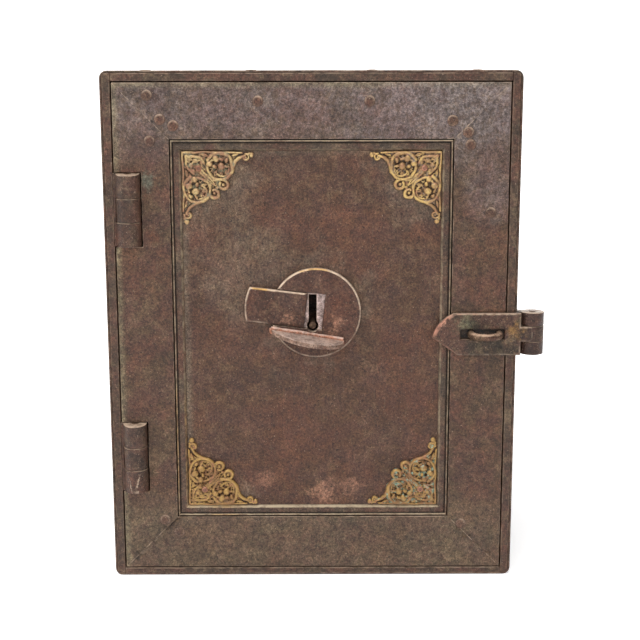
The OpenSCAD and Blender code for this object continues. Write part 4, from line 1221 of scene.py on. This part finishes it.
def pull_fin():
    """The half-moon plate, thinned and rubbed along its curved edge."""
    tilt, droop, root, thick = math.radians(9.2), math.radians(14), (-29.6, 179.5), 3.5
    length, out, arc_r, arc_u = 52.5, 15.0, 38.0, 30.0
    first = math.degrees(math.atan2(arc_r - out, -arc_u))
    last = math.degrees(math.atan2(arc_r - out + 7.0, length - arc_u - 2.6))
    rim = arc(arc_u, out - arc_r, arc_r, last, first, 30)
    straight = [(0.4, -1.2), (length - 0.6, -1.2), (length, 2.2), (length - 0.7, 5.0)]
    outline = np.vstack([straight, rim[1:-1]])
    solid = slab(outline, 0.0, thick, top=0.9, under=0.9, cell=2.0, bumps=0.15, size=8, seed=6)
    place = Matrix.Translation((root[0], DISC_FRONT, root[1])) @ Matrix.Rotation(tilt, 4, "Y")
    place = place @ Matrix.Rotation(math.pi + droop, 4, "X")
    lip = [(u, 0.9 + 0.1 * math.sin(u / 4), -0.1) for u in np.linspace(1.6, length - 1.0, 30)]
    shape = Shape().add(solid, place).add(rod(lip, 1.5, worn_and_shaded=0.6, dent=0.35, seed=3), place)
    piece("half_moon_pull", shape, "door", "lock_iron", "pull_fin", look=MAT["pull_iron"])


# ------------------------------------------------------------------ hasp


def hasp_strap():
    half = (STRAP_HIGH[2] - STRAP_LOW[2]) / 2
    thick, tongue = 2.8, TONGUE_HALF
    tip, shoulder_top, shoulder_low = STRAP_LOW[0] - HASP_X, -54.8, -51.6
    near = SHELL_HIGH[0] - HASP_X + 2.6
    t = np.linspace(0, 1, 12)[:, None]
    curve = (1 - t) ** 2 * (tip, -2.2) + 2 * t * (1 - t) * (tip + 2.5, 0.6 * half)
    nose = curve + t**2 * (shoulder_top, half)
    outline = np.vstack([[(near, half)], nose[::-1], [(shoulder_low, -half), (near, -half)],
                         [(near, -tongue), (0, -tongue), (0, tongue), (near, tongue)]])
    slot = rectangle(-49.9, -3.5, -19.6, 3.5)[::-1]
    how = {"top": 0.75, "under": 0.4, "cell": 2.0, "band": 1.2, "bumps": 0.15, "size": 14, "seed": 8}
    points, faces, wear = slab(outline, 0.0, thick, holes=[slot], **how)
    rubbed = (distance(points[:, :2], nose, closed=False)[0] < 2.2) & (points[:, 2] > thick - 0.6)
    wear = np.where(distance(points[:, :2], slot)[0] < 1.5, np.minimum(wear, 0.0), wear)
    solid = points, faces, np.where(rubbed, 1.0, wear)
    shape = Shape().add(solid, Matrix.Translation((HASP_X, STRAP_LOW[1] + thick, HASP_Z)) @ facing(0))
    knuckle = ring(HASP_PIN_R + PIN_PLAY, BARREL_R, -tongue, tongue, edge=0.4, steps=5, dent=0.15, seed=2)
    shape.add(knuckle, Matrix.Translation((HASP_X, HASP_Y, HASP_Z)))
    piece("slotted_strap", shape, "hasp", "forged_iron", "hasp_strap", look=MAT["strap_iron"])


def hasp_leaf():
    """The leaf on the box's side, with the strap's two outer knuckles."""
    low, high = cad("hasp_body_leaf")
    half, inner = (high[2] - low[2]) / 2, TONGUE_HALF + KNUCKLE_GAP
    axis = Matrix.Translation((HASP_X, HASP_Y, HASP_Z))
    side = Matrix(((0, 0, 1, low[0]), (1, 0, 0, 0), (0, 1, 0, HASP_Z), (0, 0, 0, 1)))
    y0, y1, clear = HASP_Y, high[1], HASP_Y + BARREL_R + 1.0
    outline = [(y0, -half), (y1, -half), (y1, half), (y0, half),
               (y0, inner), (clear, inner), (clear, -inner), (y0, -inner)]
    shape = Shape().add(slab(outline, 0.0, 2.5, top=0.5, cell=2.5, bumps=0.1, seed=5), side)
    for z0, z1 in ((-half, -inner), (inner, half)):
        shape.add(ring(HASP_PIN_R, BARREL_R, z0, z1, dent=0.2, seed=z0), axis)
        corner_low = (low[0], HASP_Y, HASP_Z + z0 + 0.1)
        corner_high = (HASP_X, HASP_Y + 5.7, HASP_Z + z1 - 0.1)
        shape.add(*block(corner_low, corner_high, top=0.3, cell=6, band=0))
    piece("hasp_side_leaf", shape, "box", "forged_iron", "hasp_body_leaf")
    shape = Shape()
    for solid, place in rivets("hasp_leaf_rivets", (1, 0, 0), rise=1.3):
        shape.add(solid, place @ Matrix.Translation((0, 0, -1.2)))
    piece("hasp_leaf_rivet_heads", shape, "box", "rivet_iron", "hasp_leaf_rivets")


def padlock_staple():
    """A bent rod whose legs are peened over behind the door."""
    r = (STAPLE_HIGH[2] - STAPLE_LOW[2]) / 2
    bend = (STAPLE_HIGH[0] - STAPLE_LOW[0]) / 2 - r
    bow = STAPLE_LOW[1] + r + bend
    curve = arc(STAPLE_X, bow, bend, 180, 360, 22)
    legs = np.linspace(DOOR_BACK, bow, 8)[:-1]
    left = [(STAPLE_X - bend, y) for y in legs]
    right = [(STAPLE_X + bend, y) for y in legs[::-1]]
    flat = np.vstack([left, curve, right])
    path = np.column_stack([flat, np.full(len(flat), HASP_Z)])
    shape = Shape().add(rod(path, r, dent=0.2, seed=4))
    points = shape.points[0]
    # The upper front of the rod is marked pale: rubbing and a painted top highlight.
    upper = np.clip((points[:, 2] - HASP_Z) / r, 0, 1)
    shape.wear[0] = upper * np.clip((FRONT - 4 - points[:, 1]) / 6, 0, 1)
    for x in (STAPLE_X - bend, STAPLE_X + bend):
        place = Matrix.Translation((x, 0, HASP_Z)) @ facing(DOOR_BACK, back=True)
        shape.add(rivet_head(4.0, 1.2, seed=x), place)
    piece("staple_rod", shape, "door", "worn_steel", "padlock_staple")


# ------------------------------------------------------------------ CAD nodes that stay


def finish_cad_nodes():
    """Gives each CAD node that still shows its slot's material and softened edges."""
    slots = {part["node"]: part["material_slot"] for part in frame["record"]["subparts"]}
    for name, made in frame["nodes"].items():
        if made.hide_render:
            continue
        for material_slot in made.material_slots:
            material_slot.material = MAT[slots[name]]
        soften = made.modifiers.new("softened_edges", "BEVEL")
        soften.width = 0.25 * MM
        soften.segments = 2
        soften.limit_method = "ANGLE"
        soften.angle_limit = math.radians(50)


# ------------------------------------------------------------------ studio, in metres

FLOOR_REACH = 40.0
LAMPS = [                          # name, place, size and power
    ("key_light", (-0.35, -0.5, 1.7), 1.2, 30),
    ("front_light", (0.3, -2.3, 1.1), 1.6, 12),
    ("left_light", (-1.4, -0.9, 0.8), 0.7, 4),
]
LAMP_AIM = (0, -0.1, 0.18)
CAMERA_PLACE = (0.0029, -0.9503, 0.35)
CAMERA_PITCH, CAMERA_TURN, CAMERA_ROLL = math.radians(11.14), math.radians(0.17), math.radians(-0.09)


def studio():
    """White floor that curves up into a wall, soft light from above and in front, and the camera."""
    bend = arc(2.2, 1.2, 1.2, -90, 0, 13).tolist()
    section = [(-FLOOR_REACH, 0.0)] + bend + [(3.4, 9.0)]
    mesh = bpy.data.meshes.new("studio_sweep")
    points = [(x, y, z) for y, z in section for x in (-FLOOR_REACH, FLOOR_REACH)]
    faces = [(2 * i, 2 * i + 1, 2 * i + 3, 2 * i + 2) for i in range(len(section) - 1)]
    mesh.from_pydata(points, [], faces)
    mesh.shade_smooth()
    mesh.materials.append(white_floor())
    floor = bpy.data.objects.new("studio_sweep", mesh)
    bpy.context.scene.collection.objects.link(floor)
    world = bpy.data.worlds.new("studio_air")
    world.use_nodes = True
    world.node_tree.nodes["Background"].inputs[0].default_value = (1, 1, 1, 1)
    world.node_tree.nodes["Background"].inputs[1].default_value = 0.35
    bpy.context.scene.world = world
    for name, place, size, power in LAMPS:
        lamp = bpy.data.lights.new(name, "AREA")
        lamp.shape, lamp.size, lamp.energy = "SQUARE", size, power
        made = bpy.data.objects.new(name, lamp)
        made.location = place
        made.rotation_euler = (Vector(LAMP_AIM) - Vector(place)).to_track_quat("-Z", "Y").to_euler()
        bpy.context.scene.collection.objects.link(made)
    camera = bpy.data.cameras.new("front_camera")
    camera.sensor_width, camera.lens = 36, 70.5
    made = bpy.data.objects.new("front_camera", camera)
    pitch, turn, roll = CAMERA_PITCH, CAMERA_TURN, CAMERA_ROLL
    ahead = Vector((math.sin(turn) * math.cos(pitch), math.cos(turn) * math.cos(pitch), -math.sin(pitch)))
    right = Vector((math.cos(turn), -math.sin(turn), 0))
    up = right.cross(ahead)
    right, up = right * math.cos(roll) + up * math.sin(roll), up * math.cos(roll) - right * math.sin(roll)
    basis = Matrix((right, up, -ahead)).transposed()
    made.matrix_world = Matrix.Translation(CAMERA_PLACE) @ basis.to_4x4()
    bpy.context.scene.collection.objects.link(made)
    bpy.context.scene.camera = made
    bpy.context.scene.view_settings.view_transform = "Standard"


studio()
outer_shell()
back_plate()
frame_bars()
box_rivets()
hinges()
door_panel()
face_plates()
door_rivets()
mouldings()
corner_mounts()
lock_disc()
keyhole_shutter()
pull_fin()
hasp_strap()
hasp_leaf()
padlock_staple()
finish_cad_nodes()
